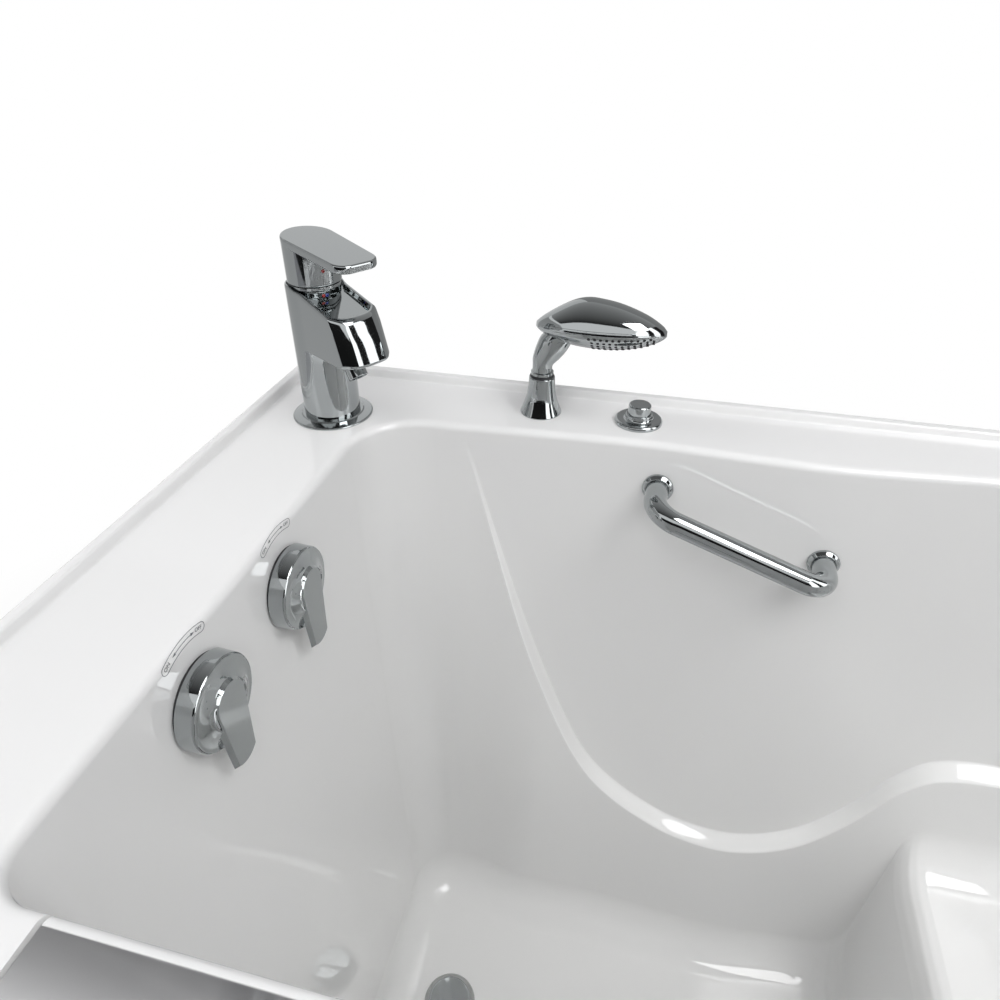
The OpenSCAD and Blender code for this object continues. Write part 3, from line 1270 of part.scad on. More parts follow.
module suction_body() color(pipework) on_riser() difference() {
    union() {
        translate([0, 0, 0.4]) cylinder(h = 4, r = suction_r - 4);
        translate([0, 0, -26]) cylinder(h = 27, r = suction_r * 0.6 - 1);
        translate([0, 0, -18]) cylinder(h = 7, r = suction_r * 0.6 + 8, $fn = 6);
    }
    translate([0, 0, -22]) cylinder(h = 40, r = suction_r * 0.6 - 5);
}

module suction_cover() color(acrylic) on_riser() difference() {
    translate([0, 0, 4.4]) rotate_extrude() polygon([[0, 0], [suction_r, 0], [suction_r, 2],
        [suction_r - 9, 9], [0, 11]]);
    translate([0, 0, 3.4]) cylinder(h = 5, r = suction_r - 9);
    for (r = [10, 20, 30], k = [0:r / 2.5 - 1]) rotate(k * 900 / r) translate([r, 0, 0])
        cylinder(h = 30, r = 2.2, $fn = 8);
}

module suction_pipe() color(pipework) {
    x0 = riser_x + 27.2;
    x1 = x0 + turn_r + 4;
    tube_run([x0, pump_y, suction_z], [x1, pump_y, suction_z], pipe_r + 3);
    bend([x1, pump_y, suction_z - turn_r], [90, 0, 0], 0, turn_r, pipe_r + 3);
    tube_run([x1 + turn_r, pump_y, pump_z + turn_r], [x1 + turn_r, pump_y, suction_z - turn_r], pipe_r + 3);
    bend([x1 + 2 * turn_r, pump_y, pump_z + turn_r], [90, 0, 0], 180, turn_r, pipe_r + 3);
    tube_run([x1 + 2 * turn_r, pump_y, pump_z], [pump_x - 60, pump_y, pump_z], pipe_r + 3);
}

module pump_housing() color(moulded) translate([pump_x, pump_y, pump_z]) {
    rotate([0, 90, 0]) translate([0, 0, -52]) cylinder(h = 52, r = volute_r);
    translate([-25, 0, volute_r - 8]) cylinder(h = 18, r = pipe_r + 6);
    rotate([0, 90, 0]) translate([0, 0, -60]) cylinder(h = 8, r = pipe_r + 8, $fn = 6);
}

fin_n = 18;
module pump_motor() color(steel) translate([pump_x, pump_y, pump_z]) {
    rotate([0, 90, 0]) {
        cylinder(h = motor_l, r = motor_r - 5);
        for (k = [0:fin_n - 1]) rotate((k + 0.5) * 360 / fin_n)
            translate([motor_r - 7, -1.5, 10]) cube([6, 3, motor_l - 36]);
        cylinder(h = 12, r = motor_r);
        translate([0, 0, motor_l - 28]) cylinder(h = 28, r = motor_r);
    }
    translate([110, motor_r - 14, -22]) cube([80, 44, 44]);
}

module pump_base() color(steel) translate([pump_x, pump_y, 0]) {
    translate([-70, -70, rail_top]) cube([motor_l + 90, 140, 3]);
    for (x = [0, motor_l - 26]) translate([x, 0, 0]) difference() {
        translate([0, -40, rail_top]) cube([24, 80, pump_z - rail_top - 20]);
        translate([-1, 0, pump_z]) rotate([0, 90, 0]) cylinder(h = 30, r = motor_r + 0.3);
    }
}

// ----------------------------------------------------------------- assembly

tub_shell();
base_frame();
levelling_feet();
foot_lock_nuts();
front_panel();
left_end_panel();
right_end_panel();
panel_screws();
door_frame();
door_seal();
hinge_fixed_leaves();
hinge_pins();
latch_keepers();
door_shell();
door_skin();
door_cap();
hinge_door_leaves();
latch_guides();
latch_lever();
latch_pinion();
latch_bar();
faucet_flange();
faucet_body();
faucet_collar();
faucet_lever();
faucet_aerator();
supply_tails();
deck_lock_nuts();
shower_holder();
holder_insert();
shower_handset();
shower_spray_face();
button_base();
button_cap();
air_bellows();
air_switch_tube();
grab_bar();
grab_bar_flanges();
wall_lock_nuts();
knob_gaskets();
knob_bearings();
drain_knob_near();
drain_knob_far();
drain_cables();
drain_bodies();
drain_stopper_near();
drain_stopper_far();
jet_housings();
jet_nozzle_1();
jet_nozzle_2();
jet_nozzle_3();
jet_nozzle_4();
jet_manifold();
suction_body();
suction_cover();
suction_pipe();
pump_housing();
pump_motor();
pump_base();
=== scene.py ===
# Walk-in bathtub with a door that swings outwards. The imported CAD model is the
# frame, and the pieces made here are its finished surfaces. Lengths in tables and
# helpers are millimetres, which MM turns into Blender's metres.
import json
from collections import namedtuple
from math import asin, atan, atan2, cos, degrees, pi, radians, sin, tan

import bpy
from mathutils import Matrix, Vector

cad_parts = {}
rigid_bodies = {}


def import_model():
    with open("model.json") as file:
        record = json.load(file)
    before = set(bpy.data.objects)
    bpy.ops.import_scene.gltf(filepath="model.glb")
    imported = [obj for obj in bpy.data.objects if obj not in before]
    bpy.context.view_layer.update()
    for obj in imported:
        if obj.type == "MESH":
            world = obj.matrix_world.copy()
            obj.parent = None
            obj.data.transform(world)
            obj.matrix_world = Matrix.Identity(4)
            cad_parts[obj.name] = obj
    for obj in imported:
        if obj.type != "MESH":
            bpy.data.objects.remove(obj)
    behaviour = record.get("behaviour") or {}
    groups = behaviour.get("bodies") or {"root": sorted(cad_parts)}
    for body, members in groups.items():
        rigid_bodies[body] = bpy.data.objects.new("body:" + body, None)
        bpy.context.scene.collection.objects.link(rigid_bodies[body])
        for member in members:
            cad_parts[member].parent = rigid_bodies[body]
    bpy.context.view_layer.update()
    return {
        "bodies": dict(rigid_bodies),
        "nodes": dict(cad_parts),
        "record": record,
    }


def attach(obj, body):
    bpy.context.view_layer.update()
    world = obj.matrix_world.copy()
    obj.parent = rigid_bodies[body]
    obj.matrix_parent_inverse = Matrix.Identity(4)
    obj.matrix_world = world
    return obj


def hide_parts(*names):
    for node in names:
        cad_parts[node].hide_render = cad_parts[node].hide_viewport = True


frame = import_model()

bl_info = {
    "name": "Walk-in bathtub with door",
    "version": (1, 0, 0),
    "blender": (4, 5, 0),
    "location": "3D View > Sidebar > Bathtub",
    "description": "Builds the finished pieces of a walk-in bathtub on its solid model",
    "category": "Add Mesh",
}

MM = 0.001

# ---- measures in mm
# Shell: half sizes, deck, its edge and the sheet, then the lip and the hem
HALF_L, HALF_W = 660.5, 381.0
DECK_Z, EDGE_R, SHELL_T = 1000.0, 8.0, 6.0
LIP_W, LIP_H, HEM_H, RIM_R = 14.0, 9.0, 38.0, 20.0
HEM_Z, UNDER_Z, WALL_Z = DECK_Z + LIP_H - HEM_H, DECK_Z - SHELL_T, DECK_Z - EDGE_R
# Walls: places, leans in degrees and corner radii; the rest is the wall behind the seat
WALL_L, WALL_R, WALL_F = -HALF_L + 131, HALF_L - 120, -HALF_W + 88
WALL_LEAN, REST_LEAN = 2, 8
CORNER_BACK, CORNER_FRONT, CORNER_SEAT, CORNER_LOW = 80, 38, 90, 72
FLOOR_Z, FLOOR_R, SEAT_Z = 140.0, 55.0, 440.0
SEAT_X, SPINE_Y = -HALF_L + 846, -4.0
FIRST_X, LAST_X = -HALF_L + 240, HALF_L - 280
# Ledge: width and height of its step, and from where the step grows, over what run
LEDGE_STEP, LEDGE_H = 22.0, 16.0
STEP_BACK, STEP_FRONT = (240, 110), (700, 80)
# Width of the back deck, and depth of the ledge below the deck, from the left end
BACK_DECK = [(229, 107), (341, 100), (449, 96), (552, 101), (649, 103), (789, 91),
             (960, 88), (1100, 88)]
LEDGE_PATH = [(250, 25), (291, 171), (332, 305), (395, 469), (443, 542), (520, 594),
              (594, 613), (662, 606), (724, 574), (774, 515), (814, 442), (850, 406),
              (914, 395), (1180, 394)]
# Section of the seat's riser, from the floor to the seat
RISER = [(-65, 140), (-45, 143), (-30, 152), (-20, 168), (-13, 195), (-1, 395),
         (3, 416), (9, 430), (17, 437), (28, 440)]
# Doorway: sides, sill, lining, depths, and the taper of its free jamb in degrees
OPEN_L, OPEN_R, SILL_Z, JAMB_T = -477.3, -20.0, 178.0, 6.0
FRONT_Y, FAR_Y, DRY_Y, DRY_STEP, JAMB_TAPER = -371.0, -239.0, -345.0, 14.0, 17
HINGE_X, BEND_TOP, CUT_GAP = -478.0, WALL_Z - 6.7, 0.3
# Fittings on the deck: place in plan, and the hole in the sheet
MIXER, SHOWER, BUTTON = (-568.5, 264.0), (-338.5, 324.0), (-227.5, 324.0)
DECK_HOLES = [(17.0, MIXER), (15.5, SHOWER), (15.0, BUTTON)]
KNOB_HOLE, BAR_HOLE, JET_HOLE, SUCTION_HOLE, DRAIN_HOLE = 11.5, 4.5, 12.5, 27.6, 25.5
# Mixer, with heights from the deck: column, fall of its lid, neck, then the spout's half
# width, corners and bulging front, and the ball socket of the aerator
MIXER_TURN = -32
COLUMN_R, COLUMN_H, LID_SLOPE, NECK_R = 31.0, 151.5, 0.253, 26
SPOUT_W, SPOUT_R, BULGE = 29.0, 15.0, 5.5
SOCKET_R, SOCKET_AT = 9.3, (43, 0, 89)
# Its lever: drum, top and the top's fall in degrees, then the blade's reach, half width
# and corners at the tip
DRUM_R, DRUM_LOW, LEVER_TOP, LEVER_FALL = 28.0, 152.2, 197.0, 6.5
LEVER_L, TIP_W, TIP_R = 73, 25, 15
# Knobs: places, drum, face and grip, the gap for the gasket, and the printed scale
KNOB_Z, KNOB_YS = 938.5, (-99.5, 39.0)
KNOB_R, KNOB_H, RIM_H, GRIP_R = 40.0, 21.5, 14.3, 20.5
KNOB_GAP, SPINDLE_R, SPINDLE_L = 3.3, 5, 39.3
SCALE_R, SCALE_W, SCALE_SPAN = 60.3, 4.4, (70, 113)
INK_W, INK_T, LETTER_H = 0.5, 0.1, 4.6
# Hand shower's head: length, width, dome, crown, bead, lift of its ends, roll in degrees
HEAD_L, HEAD_W, HEAD_UP, HEAD_DOWN = 138.0, 68.0, 37.0, 13.0
BEAD, HEAD_CURL, HEAD_ROLL = 1.2, 5, 24.0
# Height of its dome along its length, as a share of the highest
HEAD_RISE = [(-1, 0.12), (-0.88, 0.33), (-0.64, 0.66), (-0.4, 0.91), (-0.2, 1), (0, 0.98),
             (0.24, 0.9), (0.48, 0.75), (0.72, 0.54), (0.93, 0.27), (1, 0.12)]
# Hand shower's neck: height, centre and half widths along and across the head
SHOWER_NECK = [(50, 0, 0, 10.9, 10.9), (58, 0.3, 0, 11.2, 11), (65, 3.4, -0.5, 14.3, 11.6),
               (73.5, 7.6, -1.5, 16.6, 12.6), (83, 11.8, -2.6, 17.8, 13.8),
               (92, 15.2, -3.6, 17.4, 14.2), (98, 18, -4, 15, 13)]
# Temperature dots: name, enamel, body, radius, turn and height on the mixer
DOTS = [("lever_dot_hot", "hot", "mixer_lever", DRUM_R, -11, 168),
        ("neck_dot_hot", "hot", "tub", NECK_R, -15, 143),
        ("neck_dot_cold", "cold", "tub", NECK_R, -7, 143)]
JET_Z, JET_XS, JET_YS = 632.0, (271.5, 351.5), (70.0, -90.0)
DRAIN_X, SUCTION_Y, SUCTION_Z = -395.5, -40, 290
# Ends of the grab bar: along the back wall and height
BAR_ENDS = [(-196.5, 948.0), (-11.5, 885.0)]


# ---- mesh workbench
def activate(obj):
    """Leaves obj as the only selected object, in object mode."""
    if bpy.context.object and bpy.context.object.mode != "OBJECT":
        bpy.ops.object.mode_set(mode="OBJECT")
    bpy.ops.object.select_all(action="DESELECT")
    bpy.context.view_layer.objects.active = obj
    obj.select_set(True)


def new_object(name, mesh):
    obj = bpy.data.objects.new(name, mesh)
    bpy.context.scene.collection.objects.link(obj)
    activate(obj)
    return obj


def edit_all(obj):
    """Opens obj for editing with everything selected."""
    activate(obj)
    bpy.ops.object.mode_set(mode="EDIT")
    bpy.ops.mesh.select_mode(type="VERT")
    bpy.ops.mesh.select_all(action="SELECT")


def close_edit(doubles=1e-6):
    """Merges doubles, turns faces outwards and leaves edit mode."""
    bpy.ops.mesh.select_all(action="SELECT")
    bpy.ops.mesh.remove_doubles(threshold=doubles)
    bpy.ops.mesh.normals_make_consistent(inside=False)
    bpy.ops.object.mode_set(mode="OBJECT")


def modify(obj, kind, **settings):
    """Adds a modifier with its settings and applies it."""
    mod = obj.modifiers.new(kind, kind)
    for key, value in settings.items():
        setattr(mod, key, value)
    activate(obj)
    bpy.ops.object.modifier_apply(modifier=mod.name)


def boolean(obj, tool, how="DIFFERENCE"):
    """Applies a boolean with the tool and removes the tool."""
    modify(obj, "BOOLEAN", operation=how, object=tool, solver="EXACT")
    bpy.data.objects.remove(tool, do_unlink=True)


def soften(obj, edge, segments=2, angle=32):
    """Rounds the sharp edges to a radius in mm and smooths the shading."""
    if edge:
        modify(obj, "BEVEL", width=edge * MM, segments=segments, limit_method="ANGLE",
               angle_limit=radians(angle), use_clamp_overlap=True, miter_outer="MITER_ARC")
    activate(obj)
    bpy.ops.object.shade_smooth_by_angle(angle=radians(40))
    modify(obj, "WEIGHTED_NORMAL", keep_sharp=True, weight=80)


def turned(name, profile, steps=64, closed=False):
    """Spins a profile of (radius, height) round Z."""
    n = len(profile)
    mesh = bpy.data.meshes.new(name)
    mesh.from_pydata([(r * MM, 0, z * MM) for r, z in profile],
                     [(i, (i + 1) % n) for i in range(n if closed else n - 1)], [])
    obj = new_object(name, mesh)
    edit_all(obj)
    bpy.ops.mesh.spin(steps=steps, angle=2 * pi, center=(0, 0, 0), axis=(0, 0, 1))
    close_edit()
    return obj


def slab(name, outline, low, high):
    """Extrudes a closed plan outline between two heights."""
    mesh = bpy.data.meshes.new(name)
    mesh.from_pydata([(x * MM, y * MM, low * MM) for x, y in outline], [],
                     [list(range(len(outline)))])
    obj = new_object(name, mesh)
    edit_all(obj)
    bpy.ops.mesh.extrude_region_move(
        TRANSFORM_OT_translate={"value": (0, 0, (high - low) * MM)})
    close_edit()
    return obj


def place(obj, matrix):
    """Moves the mesh itself, so that the object stays at the origin."""
    obj.data.transform(matrix)
    if matrix.determinant() < 0:
        obj.data.flip_normals()
    obj.data.update()
    return obj


def joined(name, parts):
    """Joins parts into the first one."""
    activate(parts[0])
    for part in parts[1:]:
        part.select_set(True)
    if len(parts) > 1:
        bpy.ops.object.join()
    obj = bpy.context.view_layer.objects.active
    obj.name = obj.data.name = name
    return obj


def grid_skin(name, rings, caps=True):
    """Skins a list of equal rings of points, in mm, into one closed surface."""
    n = len(rings[0])
    verts = [(x * MM, y * MM, z * MM) for ring in rings for x, y, z in ring]
    faces = [(k * n + i, k * n + (i + 1) % n, (k + 1) * n + (i + 1) % n, (k + 1) * n + i)
             for k in range(len(rings) - 1) for i in range(n)]
    if caps:
        faces += [tuple(range(n))[::-1], tuple(range((len(rings) - 1) * n, len(rings) * n))]
    mesh = bpy.data.meshes.new(name)
    mesh.from_pydata(verts, [], faces)
    obj = new_object(name, mesh)
    edit_all(obj)
    close_edit()
    return obj


def refined(node, name, edge):
    """A copy of a solid with its triangles merged and its edges eased.

    Flats with holes through them, as on the frame's tubes, keep their triangles.
    """
    obj = new_object(name, frame["nodes"][node].data.copy())
    obj.data.materials.clear()
    edit_all(obj)
    bpy.ops.mesh.remove_doubles(threshold=2e-6)
    if node not in KEPT_FLATS:
        bpy.ops.mesh.dissolve_limited(angle_limit=radians(0.4))
    bpy.ops.object.mode_set(mode="OBJECT")
    soften(obj, edge)
    return obj


def finish(obj, body, slot_name, material, *nodes):
    """Gives a finished piece its material and body, and hides the nodes it stands for; slot_name
    is not used.
    """
    obj.data.materials.clear()
    obj.data.materials.append(material)
    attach(obj, body)
    if nodes:
        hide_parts(*nodes)
    return obj


# ---- materials
def linear(hex_colour):
    """Turns an sRGB hex colour into a linear one with alpha."""
    out = []
    for k in (0, 2, 4):
        c = int(hex_colour[k:k + 2], 16) / 255
        out.append(c / 12.92 if c <= 0.04045 else ((c + 0.055) / 1.055) ** 2.4)
    return (*out, 1.0)


def add(tree, kind, sockets=None, **settings):
    """Adds a shader node; a socket takes a value or another node's output."""
    made = tree.nodes.new("ShaderNode" + kind)
    for key, value in settings.items():
        setattr(made, key, value)
    for key, value in (sockets or {}).items():
        if isinstance(value, bpy.types.NodeSocket):
            tree.links.new(value, made.inputs[key])
        else:
            made.inputs[key].default_value = value
    return made


def surface(name, base):
    """A new material with its tree, its shader and its object coordinates."""
    mat = bpy.data.materials.new(name)
    mat.use_nodes = True
    tree = mat.node_tree
    shader = tree.nodes["Principled BSDF"]
    for key, value in base.items():
        shader.inputs[key].default_value = value
    coords = add(tree, "TexCoord")
    return mat, tree, shader, coords.outputs["Object"]


def grain(tree, shader, where, size_mm, rough, height_mm, stretch, detail):
    """Varies roughness and height by a noise whose features are about size_mm wide."""
    mapped = add(tree, "Mapping", {"Vector": where, "Scale": stretch})
    noise = add(tree, "TexNoise", {
        "Vector": mapped.outputs["Vector"], "Scale": 1 / (size_mm * MM), "Detail": detail})
    span = add(tree, "MapRange", {
        "Value": noise.outputs["Fac"], "From Min": 0.3, "From Max": 0.7,
        "To Min": rough[0], "To Max": rough[1]})
    tree.links.new(span.outputs["Result"], shader.inputs["Roughness"])
    if height_mm:
        bump = add(tree, "Bump", {
            "Height": noise.outputs["Fac"], "Strength": 1.0, "Distance": height_mm * MM})
        tree.links.new(bump.outputs["Normal"], shader.inputs["Normal"])
    return noise


def tint(tree, shader, fac, low, high):
    """Blends the base colour between two hex colours by a pattern."""
    ramp = add(tree, "MapRange", {"Value": fac, "From Min": 0.3, "From Max": 0.7})
    mix = add(tree, "Mix", {0: ramp.outputs["Result"], 6: linear(low), 7: linear(high)},
              data_type="RGBA")
    tree.links.new(mix.outputs[2], shader.inputs["Base Color"])


EVEN = (1, 1, 1)
# Finishes: key, name, shader values, and the colour as a user's colour or as hex tones;
# then the grain: size in mm, roughness, height in mm, stretch along the axes and detail
FINISHES = [
    # Cast acrylic, vacuum formed over a mould: an even white with a faint long
    # waviness and a polish that varies a little from place to place
    ("acrylic", "vacuum_formed_acrylic", {"IOR": 1.49, "Coat Weight": 0.3,
                                          "Coat Roughness": 0.05},
     "acrylic", 60, (0.03, 0.07), 0.05, EVEN, 1.0),
    # Acrylic sheet of the door and panels: the same colour, a little duller
    ("sheet", "acrylic_sheet", {"IOR": 1.49}, "acrylic", 150, (0.16, 0.22), 0.02, EVEN, 0.0),
    # Electroplated chrome on brass: a mirror with hair-fine wipe marks
    ("chrome", "electroplated_chrome", {"Metallic": 1.0},
     "chrome", 3, (0.03, 0.09), 0, (1, 1, 4), 4.0),
    # Drawn stainless steel tube and plate: the grain runs along the piece
    ("steel", "brushed_stainless_steel", {"Metallic": 1.0},
     ("B9BBBA",), 1.5, (0.26, 0.42), 0.01, (1, 1, 0.04), 4.0),
    # Nitrile and EPDM rubber: dull black with a fine moulded texture
    ("rubber", "epdm_rubber", {"IOR": 1.52},
     ("1B1B1D", "28282A"), 1.0, (0.62, 0.8), 0.03, EVEN, 3.0),
    # Black ABS: moulded, with a soft sheen
    ("abs", "black_abs", {"IOR": 1.53},
     ("202124", "2C2D30"), 0.8, (0.35, 0.5), 0.015, EVEN, 3.0),
    # Extruded PVC pipe: ivory white and slightly satin
    ("pvc", "pvc_pipe", {"IOR": 1.53}, ("DAD9D2", "E6E5DF"), 6, (0.3, 0.42), 0.03, EVEN, 3.0),
    # Pump motor, cast and painted: stoved enamel with a light orange peel
    ("enamel", "stoved_enamel", {"IOR": 1.5},
     ("6E7478", "7A8085"), 2.5, (0.35, 0.5), 0.06, EVEN, 3.0),
    # Screen-printed ink of the knobs' scales
    ("ink", "printed_ink", {"IOR": 1.48}, ("5D6266", "6B7074"), 1.5, (0.4, 0.55), 0, EVEN, 3.0),
    # Vitreous enamel of the temperature dots
    ("hot", "hot_enamel", {"IOR": 1.5, "Coat Weight": 0.5},
     ("B3201C", "C62C26"), 1.0, (0.2, 0.3), 0, EVEN, 3.0),
    ("cold", "cold_enamel", {"IOR": 1.5, "Coat Weight": 0.5},
     ("1E3FA8", "2B50BE"), 1.0, (0.2, 0.3), 0, EVEN, 3.0),
]


def make_materials():
    """Every finish of the tub, by its key."""
    made = {}
    for key, name, base, colour, *texture in FINISHES:
        mat, tree, shader, where = surface(name, base)
        noise = grain(tree, shader, where, *texture)
        if isinstance(colour, str):
            value = (*getattr(bpy.context.scene.tub_colours, colour), 1.0)
            shader.inputs["Base Color"].default_value = value
        elif len(colour) == 1:
            shader.inputs["Base Color"].default_value = linear(colour[0])
        else:
            tint(tree, shader, noise.outputs["Fac"], *colour)
        made[key] = mat
    return made


MATERIALS = {}


def finish_of(key):
    """The material of a finish, made on first use."""
    if not MATERIALS:
        MATERIALS.update(make_materials())
    return MATERIALS[key]


# ---- tub shell
def lerp(a, b, t):
    """The value at a share t of the way from a to b."""
    return a + (b - a) * t


def clip(t):
    """Holds t between 0 and 1."""
    return min(1.0, max(0.0, t))


def ease(t):
    """A smooth step from 0 to 1."""
    t = clip(t)
    return t * t * (3 - 2 * t)


def row_of(table, x):
    """Number of the row that x follows, with the last span going on."""
    k = 0
    while k < len(table) - 2 and x >= table[k + 1][0]:
        k += 1
    return k


def curve(table, x):
    """Value of a table at x on a smooth curve through its rows."""
    k = row_of(table, x)
    a, b, c = table[max(0, k - 1)], table[k], table[k + 1]
    d = table[min(len(table) - 1, k + 2)]
    h = c[0] - b[0]
    t = clip((x - b[0]) / h)
    m = (c[1] - a[1]) / (c[0] - a[0]) * h
    n = (d[1] - b[1]) / (d[0] - b[0]) * h
    return ((2 * t - 3) * t * t * (b[1] - c[1]) + b[1] + (t * t - 2 * t + 1) * t * m
            + (t - 1) * t * t * n)


def along(table, x):
    """Value of a table at x on straight lines between its rows."""
    k = row_of(table, x)
    a, b = table[k], table[k + 1]
    return lerp(a[1], b[1], clip((x - a[0]) / (b[0] - a[0])))


def back_y(x):
    """Edge of the back deck."""
    return HALF_W - curve(BACK_DECK, x + HALF_L)


def ledge_z(x):
    """Height of the ledge's line."""
    return DECK_Z - curve(LEDGE_PATH, x + HALF_L)


def drop(z, lean=WALL_LEAN):
    """How far a leaning wall has come in at a height."""
    return max(0.0, WALL_Z - z) * tan(radians(lean))


def rest_drop(z):
    return drop(z, REST_LEAN)


def face_back(x, z):
    return back_y(x) - EDGE_R - drop(z)


def face_left(z):
    return WALL_L + EDGE_R + drop(z)


def face_right(z):
    return WALL_R - EDGE_R - rest_drop(z)


def step_at(x, start, run):
    """Width of the ledge's step, which grows from its start and fades by the rest."""
    return LEDGE_STEP * ease((x + HALF_L - start) / run) * ease((LAST_X + 10 - x) / 100)


# A line down the sheet: its side (even) or corner (odd), counted from the back; its X, Y
# or angle there; height and step of its ledge; and its base: riser, seat or floor
Line = namedtuple("Line", "side at ledge step base")


def shell_lines(fine):
    """Every line of the sheet, once round the tub."""
    riser_x = []
    for (a, _), (b, _) in zip(RISER, RISER[1:]):
        riser_x += [SEAT_X + lerp(a, b, k / 4) for k in range(4)]
    straight = ([lerp(FIRST_X, SEAT_X + RISER[0][0], k / fine) for k in range(fine)] + riser_x
                + [lerp(SEAT_X + RISER[-1][0], LAST_X, k / 14) for k in range(15)])
    arc = side = 14
    turn = -HALF_L + STEP_FRONT[0]
    end, front, left = ledge_z(LAST_X), ledge_z(turn), DECK_Z - 150
    rows = (
        [(0, x, ledge_z(x), step_at(x, *STEP_BACK), 0) for x in straight]
        + [(1, 90 - 90 * k / arc, end, 0, 1) for k in range(arc + 1)]
        + [(2, lerp(180, -180, k / side), end, 0, 1) for k in range(1, side)]
        + [(3, -90 * k / arc, end, 0, 1) for k in range(arc + 1)]
        + [(4, x, front if x < turn else ledge_z(x), step_at(x, *STEP_FRONT), 0)
           for x in reversed(straight)]
        + [(5, -90 - 90 * k / arc, front, 0, 2) for k in range(arc + 1)]
        + [(6, lerp(-190, 150, k / side), lerp(front, left, k / side), 0, 2)
           for k in range(1, side)]
        + [(7, 180 - 90 * k / arc, lerp(left, ledge_z(FIRST_X), k / arc), 0, 2)
           for k in range(arc + 1)])
    return [Line(*row) for row in rows]


def line_base(u, t):
    """Height that a line of the sheet runs down to, t inside the sheet."""
    return (along(RISER, u.at - t - SEAT_X), SEAT_Z, FLOOR_Z)[u.base]


def around(c, r, turn):
    """Point on a circle in plan."""
    a = radians(turn)
    return (c[0] + r * cos(a), c[1] + r * sin(a))


def low_r(r, z):
    """Radius of a corner, which tends to one value at the floor."""
    return lerp(r, CORNER_LOW, clip((DECK_Z - z) / (DECK_Z - FLOOR_Z)))


def ring_xy(u, q, left, right, front, back, r):
    """Plan position of a line, q inside a rectangle whose corner has the radius r."""
    return (
        lambda: (u.at, back - q), lambda: around((right - r, back - r), r - q, u.at),
        lambda: (right - q, u.at), lambda: around((right - r, front + r), r - q, u.at),
        lambda: (u.at, front + q), lambda: around((left + r, front + r), r - q, u.at),
        lambda: (left + q, u.at), lambda: around((left + r, back - r), r - q, u.at),
    )[u.side]()


def wall_xy(u, z, q):
    """Plan position of a line at height z, q inside the deck's edge."""
    d = drop(z)
    back = back_y({0: u.at, 1: LAST_X}.get(u.side, FIRST_X)) - d
    r = {1: CORNER_SEAT, 3: CORNER_SEAT, 5: CORNER_FRONT}.get(u.side, CORNER_BACK)
    return ring_xy(u, q, WALL_L + d, WALL_R - rest_drop(z), WALL_F + d, back, low_r(r, z))


def rim_xy(u, q):
    """Plan position of a line, q inside the outer rim."""
    return ring_xy(u, q, -HALF_L, HALF_L, -HALF_W, HALF_W, RIM_R)


def levels(u, t):
    """Heights and insets of one line from the deck's edge down to the floor."""
    b, zl, st, e = line_base(u, t), u.ledge, u.step, EDGE_R - t
    out = [around((WALL_Z, 0), e, a) for a in range(0, 91, 15)]
    top = zl + LEDGE_H / 2
    out += [(lerp(WALL_Z, top, k / 8), e) for k in range(1, 8)]
    out += [(zl + LEDGE_H * (0.5 - k / 10) - min(k / 3, 1) * t, e + st * ease(k / 10))
            for k in range(11)]
    low = zl - LEDGE_H / 2 - t
    out += [(lerp(low, b + FLOOR_R, k / 10), e + st) for k in range(1, 10)]
    out += [around((b + FLOOR_R, EDGE_R + st + FLOOR_R), FLOOR_R + t, -90 - a)
            for a in range(0, 91, 10)]
    return out


def rim_profile(fillet, roll):
    """Section of the lip from the deck over its rolled edges to the sheet's underside."""
    out = [(LIP_W + fillet + 3, DECK_Z)]
    out += [around((LIP_W + fillet, DECK_Z + fillet), fillet, -90 - a) for a in range(0, 76, 15)]
    top = DECK_Z + LIP_H - roll
    out += [around((LIP_W - 1.6 - roll, top), roll, a) for a in range(15, 91, 15)]
    out += [around((roll, top), roll, 90 + a) for a in range(0, 91, 15)]
    out += [(0, HEM_Z + 1), (1, HEM_Z), (SHELL_T - 1, HEM_Z), (SHELL_T, HEM_Z + 1),
            (SHELL_T, UNDER_Z)]
    return out


def shell_rings(fine, fillet, roll):
    """Closed loops of the sheet: down to the floor on top, round the lip and back below."""
    lines = shell_lines(fine)

    def spine(t):
        return [((u.at, LAST_X, FIRST_X)[u.base], SPINE_Y, line_base(u, t) - t) for u in lines]

    def sheet(t):
        rows = [levels(u, t) for u in lines]
        return [[(*wall_xy(u, *row[k]), row[k][0]) for u, row in zip(lines, rows)]
                for k in range(len(rows[0]))]

    rings = [spine(0)] + sheet(0)[::-1]
    rings.append([(*wall_xy(u, DECK_Z, -3), DECK_Z) for u in lines])
    for q, z in rim_profile(fillet, roll):
        rings.append([(*rim_xy(u, q), z) for u in lines])
    rings += sheet(SHELL_T) + [spine(SHELL_T)]
    return rings


def box_tool(name, low, high):
    """A rectangular cutting block between two corners, in mm."""
    bpy.ops.object.select_all(action="DESELECT")
    size = [(b - a) * MM for a, b in zip(low, high)]
    mid = [(a + b) / 2 * MM for a, b in zip(low, high)]
    bpy.ops.mesh.primitive_cube_add(size=1, location=mid, scale=size)
    obj = bpy.context.object
    obj.name = name
    bpy.ops.object.transform_apply(location=True, rotation=True, scale=True)
    return obj


def drill(radius, low, high, matrix, steps=48):
    """A round cutting bar along a matrix's Z, in mm."""
    bar = slab("drill", [around((0, 0), radius, 360 * k / steps) for k in range(steps)],
               low, high)
    return place(bar, matrix)


def shift(x, y, z):
    return Matrix.Translation((x * MM, y * MM, z * MM))


def rot(axis, turn):
    return Matrix.Rotation(radians(turn), 4, axis)


def on_left(y, z):
    """Frame on the left wall, with Z into the tub, as on the other walls."""
    return shift(face_left(z), y, z) @ rot("Y", 90 - WALL_LEAN)


